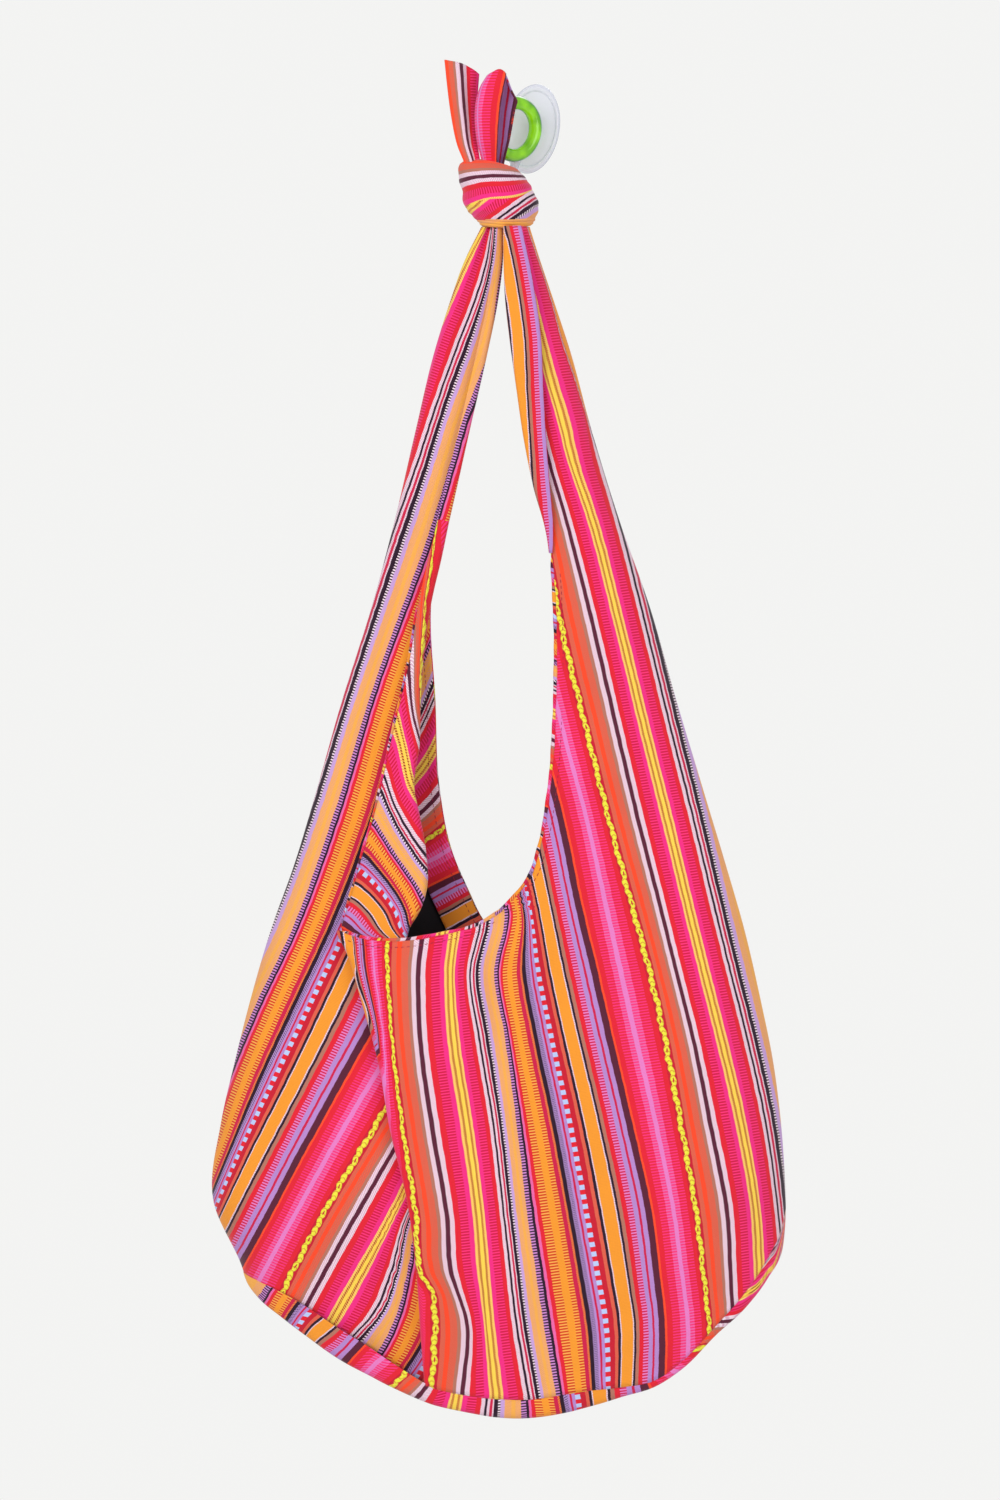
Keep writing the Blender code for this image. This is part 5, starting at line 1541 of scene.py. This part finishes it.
@dataclass
class BackFacing:
    """The facing round the back mouth, a strip of even width along its hem."""

    top: float = -285.0
    width: float = 24.0
    hem_room: float = 0.6
    room: float = 5.6
    side_room: float = 14.0
    side_steps: int = 60
    bottom_steps: int = 30
    lines: int = 14
    stripes_from: float = -68.0
    stripes_reach: float = 40.0
    stripes: Table = Table(
        ("height", "stripe", "rise"),
        (
            (-560.0, CHART.place("squares", 0) - 7.0, 0.54),
            (-533.0, CHART.place("orange", 0), 0.54),
            (-507.0, CHART.place("maroon", 0), 0.55),
            (-487.0, CHART.place("pink", 0), 0.5),
            (-472.0, CHART.place("chain", 1), 0.69),
            (-450.0, CHART.place("white and maroon", 1), 1.02),
            (-419.0, CHART.place("yellow", 1), 1.65),
            (-382.0, CHART.place("black and white", 1), 2.4),
            (-345.0, CHART.place("purple bars", 1), 2.4),
            (-285.0, CHART.place("orange", 1), 2.4),
        ),
    )

    def hem_line(self) -> Array:
        """The mouth's hem, down its left side, round its bottom and up its right side."""
        heights = np.linspace(self.top, SHAPE.back_foot, self.side_steps + 1)
        left = np.column_stack([SHAPE.back_mouth.curve("left_edge", heights), heights])
        right = np.column_stack([SHAPE.back_mouth.curve("right_edge", heights), heights])[::-1]
        share = even(self.bottom_steps)[1:-1]
        across = left[-1, 0] * (1.0 - share) + right[0, 0] * share
        bottom = np.column_stack([across, SHAPE.mouth_bottom(across)])
        return np.concatenate([left, bottom, right])

    def strip(self) -> Array:
        """Lines in even steps from the hem to the facing's edge, which keeps clear of the sides."""
        hem = self.hem_line()
        along = np.gradient(hem, axis=0)
        along /= np.linalg.norm(along, axis=1)[:, None]
        outward = np.column_stack([along[:, 1], -along[:, 0]])
        first = hem + outward * self.hem_room
        last = hem + outward * (self.hem_room + self.width)
        last[:, 0] = np.clip(last[:, 0], SHAPE.left_side(last[:, 1]) + self.side_room,
                             SHAPE.right_side(last[:, 1]) - self.side_room)
        return first + (last - first) * even(self.lines)[:, None, None]

    def build(self, finish: bpy.types.Material) -> bpy.types.Object:
        """Lay the strip in front of the back cloth, in place of its solid."""
        flat = self.strip()
        widths = self.hem_room + self.width * even(self.lines)
        across, height = flat[..., 0], flat[..., 1]
        roll = 0.5 * soft_step((6.5 - widths) / 1.5) - 0.4 * hump((widths - 4.8) / 0.8)
        depth = SHAPE.back_depth(across, height) - self.room - roll[:, None]
        points = np.stack([across, depth, height], axis=-1)
        beside = np.minimum(across - self.stripes_from, self.stripes_reach)
        lifted = height - self.stripes.curve("rise", height) * beside
        stripe = np.interp(lifted, self.stripes.column("height"), self.stripes.column("stripe"))
        along = across * 0.85 + height * 0.53
        piece = Piece("back_facing_cloth", [Patch(points, stripe, along)], finish, 1.0).build()
        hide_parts("back_facing")
        return piece


@dataclass
class Stitching:
    """Rows of small dark stitches beside the hems."""

    length: float = 2.5
    gap: float = 1.4
    radius: float = 0.24
    inset: float = 5.0
    back_line: int = 3
    above_front: float = 0.85
    above_facing: float = 0.65
    front_reach: tuple[float, float] = (-122.0, -24.0)
    strap_reach: tuple[float, float] = (-512.0, -296.0)
    front_points: int = 60
    strap_points: int = 120

    def paths(self, back: BackFacing) -> list[Array]:
        """The rows' paths, laid on the faces of their cloths by the same depth formulas."""
        across = np.linspace(*self.front_reach, self.front_points)
        height = SHAPE.front_hem(across) - self.inset
        front = np.column_stack([across, SHAPE.front_depth(across, height) - self.above_front, height])
        height = np.linspace(*self.strap_reach, self.strap_points)
        across = SHAPE.strap_inner(height) + self.inset
        strap = np.column_stack([across, SHAPE.front_depth(across, height) - self.above_front, height])
        across, height = back.strip()[self.back_line].T
        depth = SHAPE.back_depth(across, height) - back.room - self.above_facing
        behind = np.column_stack([across, depth, height])
        return [front, strap, behind]

    def row(self, path: Array) -> Array:
        """Even stitches along a path, each a six sided capsule of four rings.

        Args:
            path: the row's points.

        Returns:
            Points by stitch, by ring and by side.
        """
        reach = np.concatenate([[0.0], np.cumsum(np.linalg.norm(np.diff(path, axis=0), axis=1))])
        count = int(reach[-1] / (self.length + self.gap))
        centre = (even(count)[:-1] + 0.5 / count) * reach[-1]
        first, last = (np.column_stack([np.interp(centre + half, reach, path[:, k]) for k in range(3)])
                       for half in (-self.length / 2, self.length / 2))
        along = (last - first) / np.linalg.norm(last - first, axis=1)[:, None]
        side = np.cross(along, [0.0, 1.0, 0.0])
        normal = np.cross(side, along)
        angle = 2.0 * math.pi * even(6)[None, :, None]
        ring = normal[:, None, :] * np.cos(angle) + side[:, None, :] * np.sin(angle)
        share = np.array([0.0, 0.15, 0.85, 1.0])[None, :, None, None]
        thick = self.radius * np.array([0.05, 1.0, 1.0, 0.05])[None, :, None, None]
        middle = first[:, None, None, :] * (1.0 - share) + last[:, None, None, :] * share
        return middle + thick * ring[:, None, :, :]

    def build(self, back: BackFacing, finish: bpy.types.Material) -> bpy.types.Object:
        """Make all the stitches as one piece."""
        stitches = np.concatenate([self.row(path) for path in self.paths(back)])
        patches = [Patch(stitch, stitch[..., 0], stitch[..., 2]) for stitch in stitches]
        return Piece("hem_stitches", patches, finish, closed=True).build()


@dataclass
class Lining:
    """The black pouch inside, closed at its sides and bottom."""

    side_room: float = 15.0
    back_room: float = 3.5
    front_room: float = 13.5
    least_room: float = 4.0
    bottom_room: float = 9.0
    front_top: float = -572.0
    lines: int = 50
    rows: int = 46
    top: Table = Table(
        ("across", "height"),
        (
            (-170.0, -505.0),
            (-105.0, -470.0),
            (-86.0, -470.0),
            (-76.0, -478.0),
            (-66.0, -495.0),
            (-54.0, -522.0),
            (-40.0, -543.0),
            (-21.0, -550.0),
            (-4.0, -543.0),
            (12.0, -522.0),
            (26.0, -495.0),
            (38.0, -475.0),
            (60.0, -470.0),
            (150.0, -520.0),
        ),
    )

    def left(self, height: Array) -> Array:
        """The pouch's left side."""
        return SHAPE.left_side(height) + self.side_room

    def right(self, height: Array) -> Array:
        """The pouch's right side."""
        return SHAPE.right_side(height) - self.side_room

    def back(self, across: Array, height: Array) -> Array:
        """Depth of its back, with shallow creases as sines."""
        crease = 0.3 * np.sin(across / 9.0 + height / 30.0)
        return SHAPE.back_depth(across, height) - self.back_room + crease

    def front(self, across: Array, height: Array) -> Array:
        """Depth of its front, which never comes nearer its back than the least room."""
        behind = SHAPE.front_depth(across, height) + self.front_room
        return np.minimum(behind, self.back(across, height) - self.least_room)

    def build(self, finish: bpy.types.Material) -> bpy.types.Object:
        """Lay the back, the front and the closed bottom, in place of the solid."""
        parts = 0.5 * (1.0 - np.cos(math.pi * even(self.lines)))
        bottom: Curve = lambda x: SHAPE.base.curve("low", x) + self.bottom_room
        low = curve_height(self.left, self.right, parts, bottom)
        high = curve_height(self.left, self.right, parts, lambda x: self.top.curve("height", x))
        rows = (even(self.rows),)
        back = lay(self.left, self.right, parts, heights_between((low, high), rows), self.back)
        top = np.full_like(low, self.front_top)
        front = lay(self.left, self.right, parts, heights_between((low, top), rows), self.front)
        sides = [self.side_strip(np.stack([back[k], front[k]])) for k in (0, -1)]
        floor = np.stack([back[:, 0], front[:, 0]])
        patches = [Patch(p, p[..., 0] + p[..., 1], p[..., 2]) for p in (back, front, floor)]
        patches += [Patch(p, p[..., 1], p[..., 2]) for p in sides]
        piece = Piece("lining_cloth", patches, finish, 0.8).build()
        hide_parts("lining")
        return piece

    def side_strip(self, pair: Array) -> Array:
        """Close one side up to the front's top, between the back's and the front's edge."""
        back, front = pair
        height = front[:, 2]
        matched = np.column_stack([np.interp(height, back[:, 2], back[:, k]) for k in range(2)] + [height])
        return np.stack([matched, front])


# The knot and the ends

@dataclass(frozen=True)
class Wrap:
    """One turn of strap round the knot: heights at the left, front, right and behind."""

    name: str
    middle: tuple[float, float, float, float]
    half: tuple[float, float, float, float]
    lift: float
    bulge: float
    stripe: tuple[float, float] = (0.0, 0.0)


@dataclass
class Knot:
    """The two straps' overhand knot, as turns of cloth wound over each other."""

    outline: Table = Table(
        ("height", "across", "half_width", "half_depth"),
        (
            (-21.0, -36.0, 10.0, 9.0),
            (-25.0, -31.5, 15.0, 12.0),
            (-29.0, -29.5, 18.0, 15.0),
            (-36.0, -26.0, 20.5, 18.0),
            (-43.5, -22.5, 22.0, 19.5),
            (-54.0, -20.0, 23.0, 19.5),
            (-60.0, -18.0, 20.0, 17.0),
            (-64.5, -17.0, 17.0, 15.0),
            (-68.0, -17.0, 15.0, 13.5),
        ),
    )
    depth: float = -38.0
    around: int = 150
    across: int = 26
    wraps: tuple[Wrap, ...] = (
        Wrap("core", (-46.0, -46.0, -46.0, -46.0), (20.0, 20.0, 20.0, 20.0), -2.6, 0.0, (0.0, 0.75)),
        Wrap("low", (-64.0, -65.6, -63.4, -60.0), (3.2, 3.0, 3.4, 6.0), -0.6, 1.2, (70.5, 0.75)),
        Wrap("middle", (-58.5, -56.5, -52.5, -56.0), (6.0, 8.4, 10.5, 9.0), -0.6, 1.6),
        Wrap("top", (-41.0, -38.0, -36.5, -40.0), (17.5, 14.2, 8.5, 13.0), -0.6, 1.8),
    )

    def ring(self, values: tuple[float, float, float, float], angle: Array) -> Array:
        """Read four values round the knot: left, front, right and behind, by cosine steps."""
        left, front, right, behind = values
        turn_at = (angle / (0.5 * math.pi)) % 4.0
        keys = np.arange(5.0)
        table = np.array([right, behind, left, front, right])
        index = np.clip(np.floor(turn_at).astype(int), 0, 3)
        share = soft_step(turn_at - keys[index])
        return table[index] * (1.0 - share) + table[index + 1] * share

    def surface(self, wrap: Wrap) -> Array:
        """Points of one turn: the outline's ellipse at each height, swelled and tucked at its edges."""
        angle = (2.0 * math.pi * even(self.around))[:, None]
        side = np.linspace(-1.0, 1.0, self.across + 1)[None, :]
        height = self.ring(wrap.middle, angle) + self.ring(wrap.half, angle) * side
        inside = np.clip(height, -68.0, -21.0)
        radius_x = self.outline.curve("half_width", inside)
        radius_y = self.outline.curve("half_depth", inside)
        swell = wrap.lift + wrap.bulge * np.sqrt(1.0 - side**2) - 3.0 * hump((1.0 - np.abs(side)) / 0.08)
        crease = 0.35 * np.sin(3.0 * side * math.pi + 2.0 * angle) * (1.0 - side**2)
        across = self.outline.curve("across", inside) + (radius_x + swell + crease) * np.cos(angle)
        depth = self.depth + (radius_y + swell + crease) * np.sin(angle)
        return np.stack([across, depth, height], axis=-1)

    def stripes(self, wrap: Wrap, points: Array) -> Array:
        """Stripe coordinate of one turn.

        Args:
            wrap: the turn.
            points: its points.

        Returns:
            Down the top turn from its edge, square to the slanted stripes on the middle one,
            and the turn's own numbers on the others.
        """
        height = points[..., 2]
        if wrap.name == "top":
            share = np.linspace(1.0, 0.0, self.across + 1)[None, :] * np.ones_like(height)
            return 7.5 + 33.0 * share ** 0.95
        if wrap.name == "middle":
            line = 0.71 * (points[..., 0] + 27.0) - (height + 66.5)
            return CHART.place("black and white", 0) - 2.2 + 0.80 * line
        start, slope = wrap.stripe
        return start - slope * (height + 65.0)

    def build(self, finish: bpy.types.Material) -> bpy.types.Object:
        """Make all the turns as one piece, in place of the knot's solid."""
        patches = []
        for wrap in self.wraps:
            points = self.surface(wrap)
            along = np.broadcast_to((24.0 * 2.0 * math.pi * even(self.around))[:, None], points.shape[:2])
            patches.append(Patch(points, self.stripes(wrap, points), along))
        piece = Piece("knot_wraps", patches, finish, 1.0).build()
        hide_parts("knot")
        return piece


@dataclass
class LeftTail:
    """The flat end of one strap, bent along its middle."""

    rows: int = 60
    across: int = 40
    rise: float = 11.0
    table: Table = Table(
        ("height", "x_left", "y_left", "x_middle", "y_middle", "x_right", "y_right"),
        (
            (-30.0, -43.5, -46.0, -38.0, -48.0, -34.0, -44.0),
            (-24.3, -45.0, -46.0, -39.0, -48.5, -34.5, -44.0),
            (-15.0, -49.0, -46.5, -42.0, -49.5, -36.0, -42.5),
            (0.0, -53.0, -48.0, -44.5, -51.5, -36.5, -41.5),
            (18.0, -56.0, -50.0, -47.0, -53.5, -36.0, -42.0),
            (31.0, -57.5, -51.0, -48.5, -54.5, -35.0, -43.0),
        ),
    )

    def build(self, finish: bpy.types.Material) -> bpy.types.Object:
        """Carry a curve of three points up the tail, with soft ridges along it."""
        height = np.linspace(-30.0, 31.0, self.rows + 1)[None, :]
        t = even(self.across)[:, None]
        left, middle, right = (1 - t) ** 2, 2 * t * (1 - t), t**2
        read = {name: self.table.curve(name, height) for name in self.table.columns[1:]}
        across = left * read["x_left"] + middle * read["x_middle"] + right * read["x_right"]
        depth = left * read["y_left"] + middle * read["y_middle"] + right * read["y_right"]
        share = (height + 30.0) / 61.0
        depth = depth + (1.3 * np.sin(9.0 * t + 1.0) - 0.6 * np.sin(17.0 * t)) * (0.4 + 0.6 * share)
        rise = (self.rise - 4.0 * t - 5.0 * t**4) * soft_step((height + 24.0) / 55.0)
        points = np.stack([across, depth, height + rise], axis=-1)
        stripe = 8.0 + 24.0 * t + 4.0 * t**2 + 0.0 * height
        piece = Piece("left_tail_cloth", [Patch(points, stripe, points[..., 2])], finish, 1.2).build()
        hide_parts("tail_left")
        return piece


@dataclass
class RightTail:
    """The rolled end of the other strap, open at its right."""

    rows: int = 60
    across: int = 72
    faces: float = -35.0
    table: Table = Table(
        ("height", "across", "depth", "half_width", "half_depth", "opening"),
        (
            (-30.0, -25.5, -43.0, 6.0, 3.6, 70.0),
            (-24.3, -25.5, -44.0, 7.0, 4.0, 70.0),
            (-12.0, -25.5, -49.5, 10.0, 5.5, 75.0),
            (2.0, -25.0, -53.0, 12.0, 6.5, 78.0),
            (18.0, -23.5, -54.5, 12.5, 6.5, 74.0),
            (29.0, -22.0, -54.5, 11.0, 5.5, 66.0),
            (35.0, -21.5, -54.0, 8.0, 4.0, 50.0),
        ),
    )

    def build(self, finish: bpy.types.Material) -> bpy.types.Object:
        """Carry an open ellipse up the tail, rippled by sines."""
        height = np.linspace(-30.0, 35.0, self.rows + 1)[None, :]
        read = {name: self.table.curve(name, height) for name in self.table.columns[1:]}
        opening = np.radians(read["opening"])
        share = even(self.across)[:, None]
        angle = math.radians(self.faces) + opening / 2 + (2.0 * math.pi - opening) * share
        ripple = 1.0 + 0.045 * np.sin(5.0 * angle + 0.03 * height)
        across = read["across"] + ripple * read["half_width"] * np.cos(angle)
        depth = read["depth"] + ripple * read["half_depth"] * np.sin(angle)
        reach = np.cos(angle) ** 2 * (9.5 + 5.5 * np.cos(angle))
        drop = reach * soft_step((height - 5.0) / 30.0)
        points = np.stack([across, depth, height - drop], axis=-1)
        maroon = CHART.place("maroon", 0)
        stripe = maroon + np.interp(share, (0.0, 0.25, 0.45, 0.62, 1.0), (2.0, -9.0, -2.0, 22.0, 1.5))
        stripe = stripe + 0.0 * height
        piece = Piece("right_tail_cloth", [Patch(points, stripe, points[..., 2])], finish, 1.2).build()
        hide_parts("tail_right")
        return piece


# The hook

def tube(centres: Array, normals: Array, sides: Array, radius: Array, count: int) -> Array:
    """Points round a path: centre + radius·(normal·cos + side·sin).

    Args:
        centres: points of the path.
        normals: unit vectors square to it.
        sides: unit vectors square to both.
        radius: the tube's radius at each point.
        count: points round the tube.

    Returns:
        Points by path step and by turn, the last turn meeting the first.
    """
    angle = 2.0 * math.pi * even(count)
    ring = (normals[:, None, :] * np.cos(angle)[None, :, None]
            + sides[:, None, :] * np.sin(angle)[None, :, None])
    return centres[:, None, :] + radius[:, None, None] * ring


@dataclass
class HookPlate:
    """The clear oval wall plate with its raised rim."""

    half_width: float = 18.5
    half_height: float = 30.0
    lean: float = math.radians(10.0)
    around: int = 128
    profile: Table = Table(
        ("step", "radius", "depth"),
        (
            (0.0, 0.0, 3.0),
            (1.0, 0.4, 3.0),
            (2.0, 0.78, 3.0),
            (3.0, 0.83, 3.2),
            (4.0, 0.86, 4.2),
            (5.0, 0.90, 4.5),
            (6.0, 0.94, 4.2),
            (7.0, 0.985, 3.0),
            (8.0, 1.0, 1.6),
            (9.0, 0.995, 0.0),
            (10.0, 0.5, 0.0),
            (11.0, 0.0, 0.0),
        ),
    )

    def build(self, finish: bpy.types.Material) -> bpy.types.Object:
        """Turn the section round the plate's middle and draw it out to an oval."""
        step = np.concatenate([np.linspace(0.0, 9.0, 55), [10.0, 11.0]])
        radius = np.clip(self.profile.curve("radius", step), 0.0, 1.0)[:, None]
        depth = np.clip(self.profile.curve("depth", step), 0.0, 4.5)[:, None]
        angle = (2.0 * math.pi * even(self.around))[None, :]
        wide = radius * self.half_width * np.cos(angle)
        tall = radius * self.half_height * np.sin(angle)
        across = wide * math.cos(self.lean) + tall * math.sin(self.lean)
        height = tall * math.cos(self.lean) - wide * math.sin(self.lean)
        points = np.stack([across, -depth * np.ones_like(across), height], axis=-1)
        piece = Piece("clear_plate", [Patch(points, across, height)], finish, closed=True).build()
        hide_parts("hook_plate")
        return piece


@dataclass
class HookRing:
    """The green ring, its stub on the plate and the arm that carries the knot."""

    radius: float = 17.4
    thickness: float = 4.4
    turned: float = math.radians(40.0)
    lean: float = math.radians(12.0)
    middle: tuple[float, float, float] = (-11.2, -21.2, -1.6)
    stub_radius: float = 3.6
    stub_from: float = 3.4
    stub_to: float = 9.0
    stub_place: tuple[float, float] = (1.6, 1.5)
    arm_radius: float = 3.0
    route: tuple[tuple[float, float, float], ...] = (
        (-8.5, -17.6, -18.5),
        (-11.5, -12.6, -25.5),
        (-14.0, -10.8, -36.0),
        (-16.5, -10.4, -50.0),
        (-18.4, -10.6, -62.0),
        (-19.0, -12.4, -68.6),
        (-19.0, -16.8, -71.6),
        (-19.0, -26.0, -71.6),
        (-19.0, -35.5, -71.4),
    )

    def ring(self) -> Array:
        """A torus, stood up, turned and leaned by three rotations."""
        angle = 2.0 * math.pi * even(120)
        out = np.column_stack([np.cos(angle), np.zeros_like(angle), np.sin(angle)])
        side = np.tile([0.0, 1.0, 0.0], (len(angle), 1))
        local = tube(self.radius * out, out, side, np.full(len(angle), self.thickness), 32)
        turned = Matrix.Rotation(self.turned, 3, "Z")
        lean = Matrix.Rotation(self.lean, 3, "Y")
        return local @ np.array(lean @ turned).T + np.array(self.middle)

    def stub(self) -> Array:
        """A short round post with closed, softly rounded ends."""
        depth = np.concatenate([[0.0], np.linspace(0.0, 1.0, 9), [1.0]])
        rounded = 0.82 + 0.18 * np.sin(math.pi * even(8)) ** 0.3
        radius = self.stub_radius * np.concatenate([[0.0], rounded, [0.0]])
        centres = np.column_stack([
            np.full(len(depth), self.stub_place[0]),
            -(self.stub_from + (self.stub_to - self.stub_from) * depth),
            np.full(len(depth), self.stub_place[1]),
        ])
        normal = np.tile([1.0, 0.0, 0.0], (len(depth), 1))
        side = np.tile([0.0, 0.0, 1.0], (len(depth), 1))
        return tube(centres, normal, side, radius, 32)

    def arm(self) -> Array:
        """A tube along a smooth route, rounded off at both ends by a quarter circle."""
        route = np.array(self.route)
        at = np.linspace(0, len(route) - 1, 90)
        centres = np.column_stack([smooth_curve(np.arange(len(route)), values, at) for values in route.T])
        along = np.gradient(centres, axis=0)
        along /= np.linalg.norm(along, axis=1)[:, None]
        side = np.tile([1.0, 0.0, 0.0], (len(at), 1))
        side -= along * np.sum(along * side, axis=1)[:, None]
        side /= np.linalg.norm(side, axis=1)[:, None]
        normal = np.cross(along, side)
        ends = np.minimum(even(len(at) - 1), 1.0 - even(len(at) - 1)) / 0.05
        radius = self.arm_radius * quarter_round(ends, np.ones_like(ends))
        return tube(centres, normal, side, radius, 24)

    def build(self, green: bpy.types.Material, clear: bpy.types.Material) -> None:
        """Make the green ring with its stub, and the clear arm, in place of the solid."""
        parts = (("green_ring", "green_plastic", green, (self.ring(), self.stub())),
                 ("clear_arm", "clear_plastic", clear, (self.arm(),)))
        for name, slot, finish, tubes in parts:
            patches = [Patch(points, points[..., 0], points[..., 2]) for points in tubes]
            piece = Piece(name, patches, finish, closed=True).build()
            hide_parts("hook_ring")


# The room

@dataclass
class Studio:
    """The camera at the photograph's angle, soft light, and a pale floor."""

    distance: float = 5.5
    middle: tuple[float, float] = (-0.0211, -0.4132)
    view_height: float = 0.99
    cloth_depth: float = -0.045
    floor_height: float = -1.32

    def camera(self) -> None:
        """Place the camera level with the middle of the view."""
        data = bpy.data.cameras.new("camera")
        data.sensor_fit = "VERTICAL"
        data.sensor_height = 36.0
        data.lens = 36.0 * self.distance / self.view_height
        camera = bpy.data.objects.new("camera", data)
        camera.location = (self.middle[0], self.cloth_depth - self.distance, self.middle[1])
        camera.rotation_euler = (math.radians(90.0), 0.0, 0.0)
        bpy.context.scene.collection.objects.link(camera)
        bpy.context.scene.camera = camera

    def lamp(self, name: str, place: tuple[float, float, float], size: float, power: float) -> None:
        """Add a square soft light that looks at the bag's middle."""
        data = bpy.data.lights.new(name, "AREA")
        data.size = size
        data.energy = power
        lamp = bpy.data.objects.new(name, data)
        lamp.location = place
        aim = Vector((self.middle[0], self.cloth_depth, self.middle[1])) - Vector(place)
        lamp.rotation_euler = aim.to_track_quat("-Z", "Y").to_euler()
        bpy.context.scene.collection.objects.link(lamp)

    def world(self) -> None:
        """A pale surround that lights the bag less than it shows."""
        world = bpy.data.worlds.new("room")
        world.use_nodes = True
        tree = world.node_tree
        shade = tree.nodes["Background"]
        shade.inputs["Color"].default_value = (0.90, 0.90, 0.89, 1.0)
        path = tree.nodes.new("ShaderNodeLightPath")
        seen = tree.nodes.new("ShaderNodeMath")
        seen.operation = "MAXIMUM"
        tree.links.new(path.outputs["Is Camera Ray"], seen.inputs[0])
        tree.links.new(path.outputs["Is Transmission Ray"], seen.inputs[1])
        strength = tree.nodes.new("ShaderNodeMapRange")
        strength.inputs["To Min"].default_value = 0.62
        strength.inputs["To Max"].default_value = 1.0
        tree.links.new(seen.outputs[0], strength.inputs["Value"])
        tree.links.new(strength.outputs[0], shade.inputs["Strength"])
        bpy.context.scene.world = world

    def floor(self) -> None:
        """A round pale floor, as rings of points, well below the bag."""
        angle = (2.0 * math.pi * even(96))[None, :]
        radius = np.linspace(0.0, 1.5, 12)[:, None]
        points = np.stack([radius * np.cos(angle), radius * np.sin(angle),
                           np.full((12, 97), self.floor_height)], axis=-1)
        faces = Patch(points, points[..., 0], points[..., 1]).faces(0)
        mesh = bpy.data.meshes.new("floor")
        mesh.from_pydata(points.reshape(-1, 3).tolist(), [], faces.tolist())
        weld(mesh)
        bench = Bench("pale_floor")
        place = bench.node("ShaderNodeTexCoord")
        grain = bench.noise(place.outputs["Object"], 9.0, 3.0)
        bench.join(bench.mix(grain, (0.80, 0.80, 0.79, 1.0), (0.86, 0.86, 0.85, 1.0)),
                   bench.shader.inputs["Base Color"])
        bench.set(Roughness=0.8)
        mesh.materials.append(bench.material)
        floor = bpy.data.objects.new("floor", mesh)
        bpy.context.scene.collection.objects.link(floor)
        floor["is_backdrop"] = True

    def build(self) -> None:
        """Set the whole room."""
        self.camera()
        self.lamp("key", (-1.3, -2.0, 0.7), 1.3, 32.0)
        self.lamp("fill", (1.7, -1.9, -0.2), 1.8, 17.0)
        self.lamp("behind", (0.6, 1.4, 0.9), 1.2, 8.0)
        self.world()
        self.floor()
        bpy.context.scene.view_settings.view_transform = "Standard"


def corners(bounds: object) -> list[list[float]]:
    """A box's two corners as plain lists of numbers."""
    return [[float(value) for value in corner] for corner in bounds]


def main() -> None:
    """Build every sub-assembly in order and report it."""
    logging.basicConfig(level=logging.INFO, format="%(name)s: %(message)s")
    solid_box = corners(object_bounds())
    striped = StripedCotton().material("striped_cotton")
    black = PlainCotton().material("black_lining")
    clear_plastic = CLEAR_PLASTIC.material("clear_plastic")
    green_plastic = GREEN_PLASTIC.material("green_plastic")
    Studio().build()
    Knot().build(striped)
    front, back_facing = FrontPanel(), BackFacing()
    for part in (front, BackPanel(), BasePanel(), FlapFacing(), back_facing, LeftTail(), RightTail()):
        part.build(striped)
    HemRolls().build(front, striped)
    Stitching().build(back_facing, STITCH_THREAD.material("stitch_thread"))
    Lining().build(black)
    HookPlate().build(clear_plastic)
    HookRing().build(green_plastic, clear_plastic)
    dressed_box = corners(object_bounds())


if __name__ == "__main__":
    main()
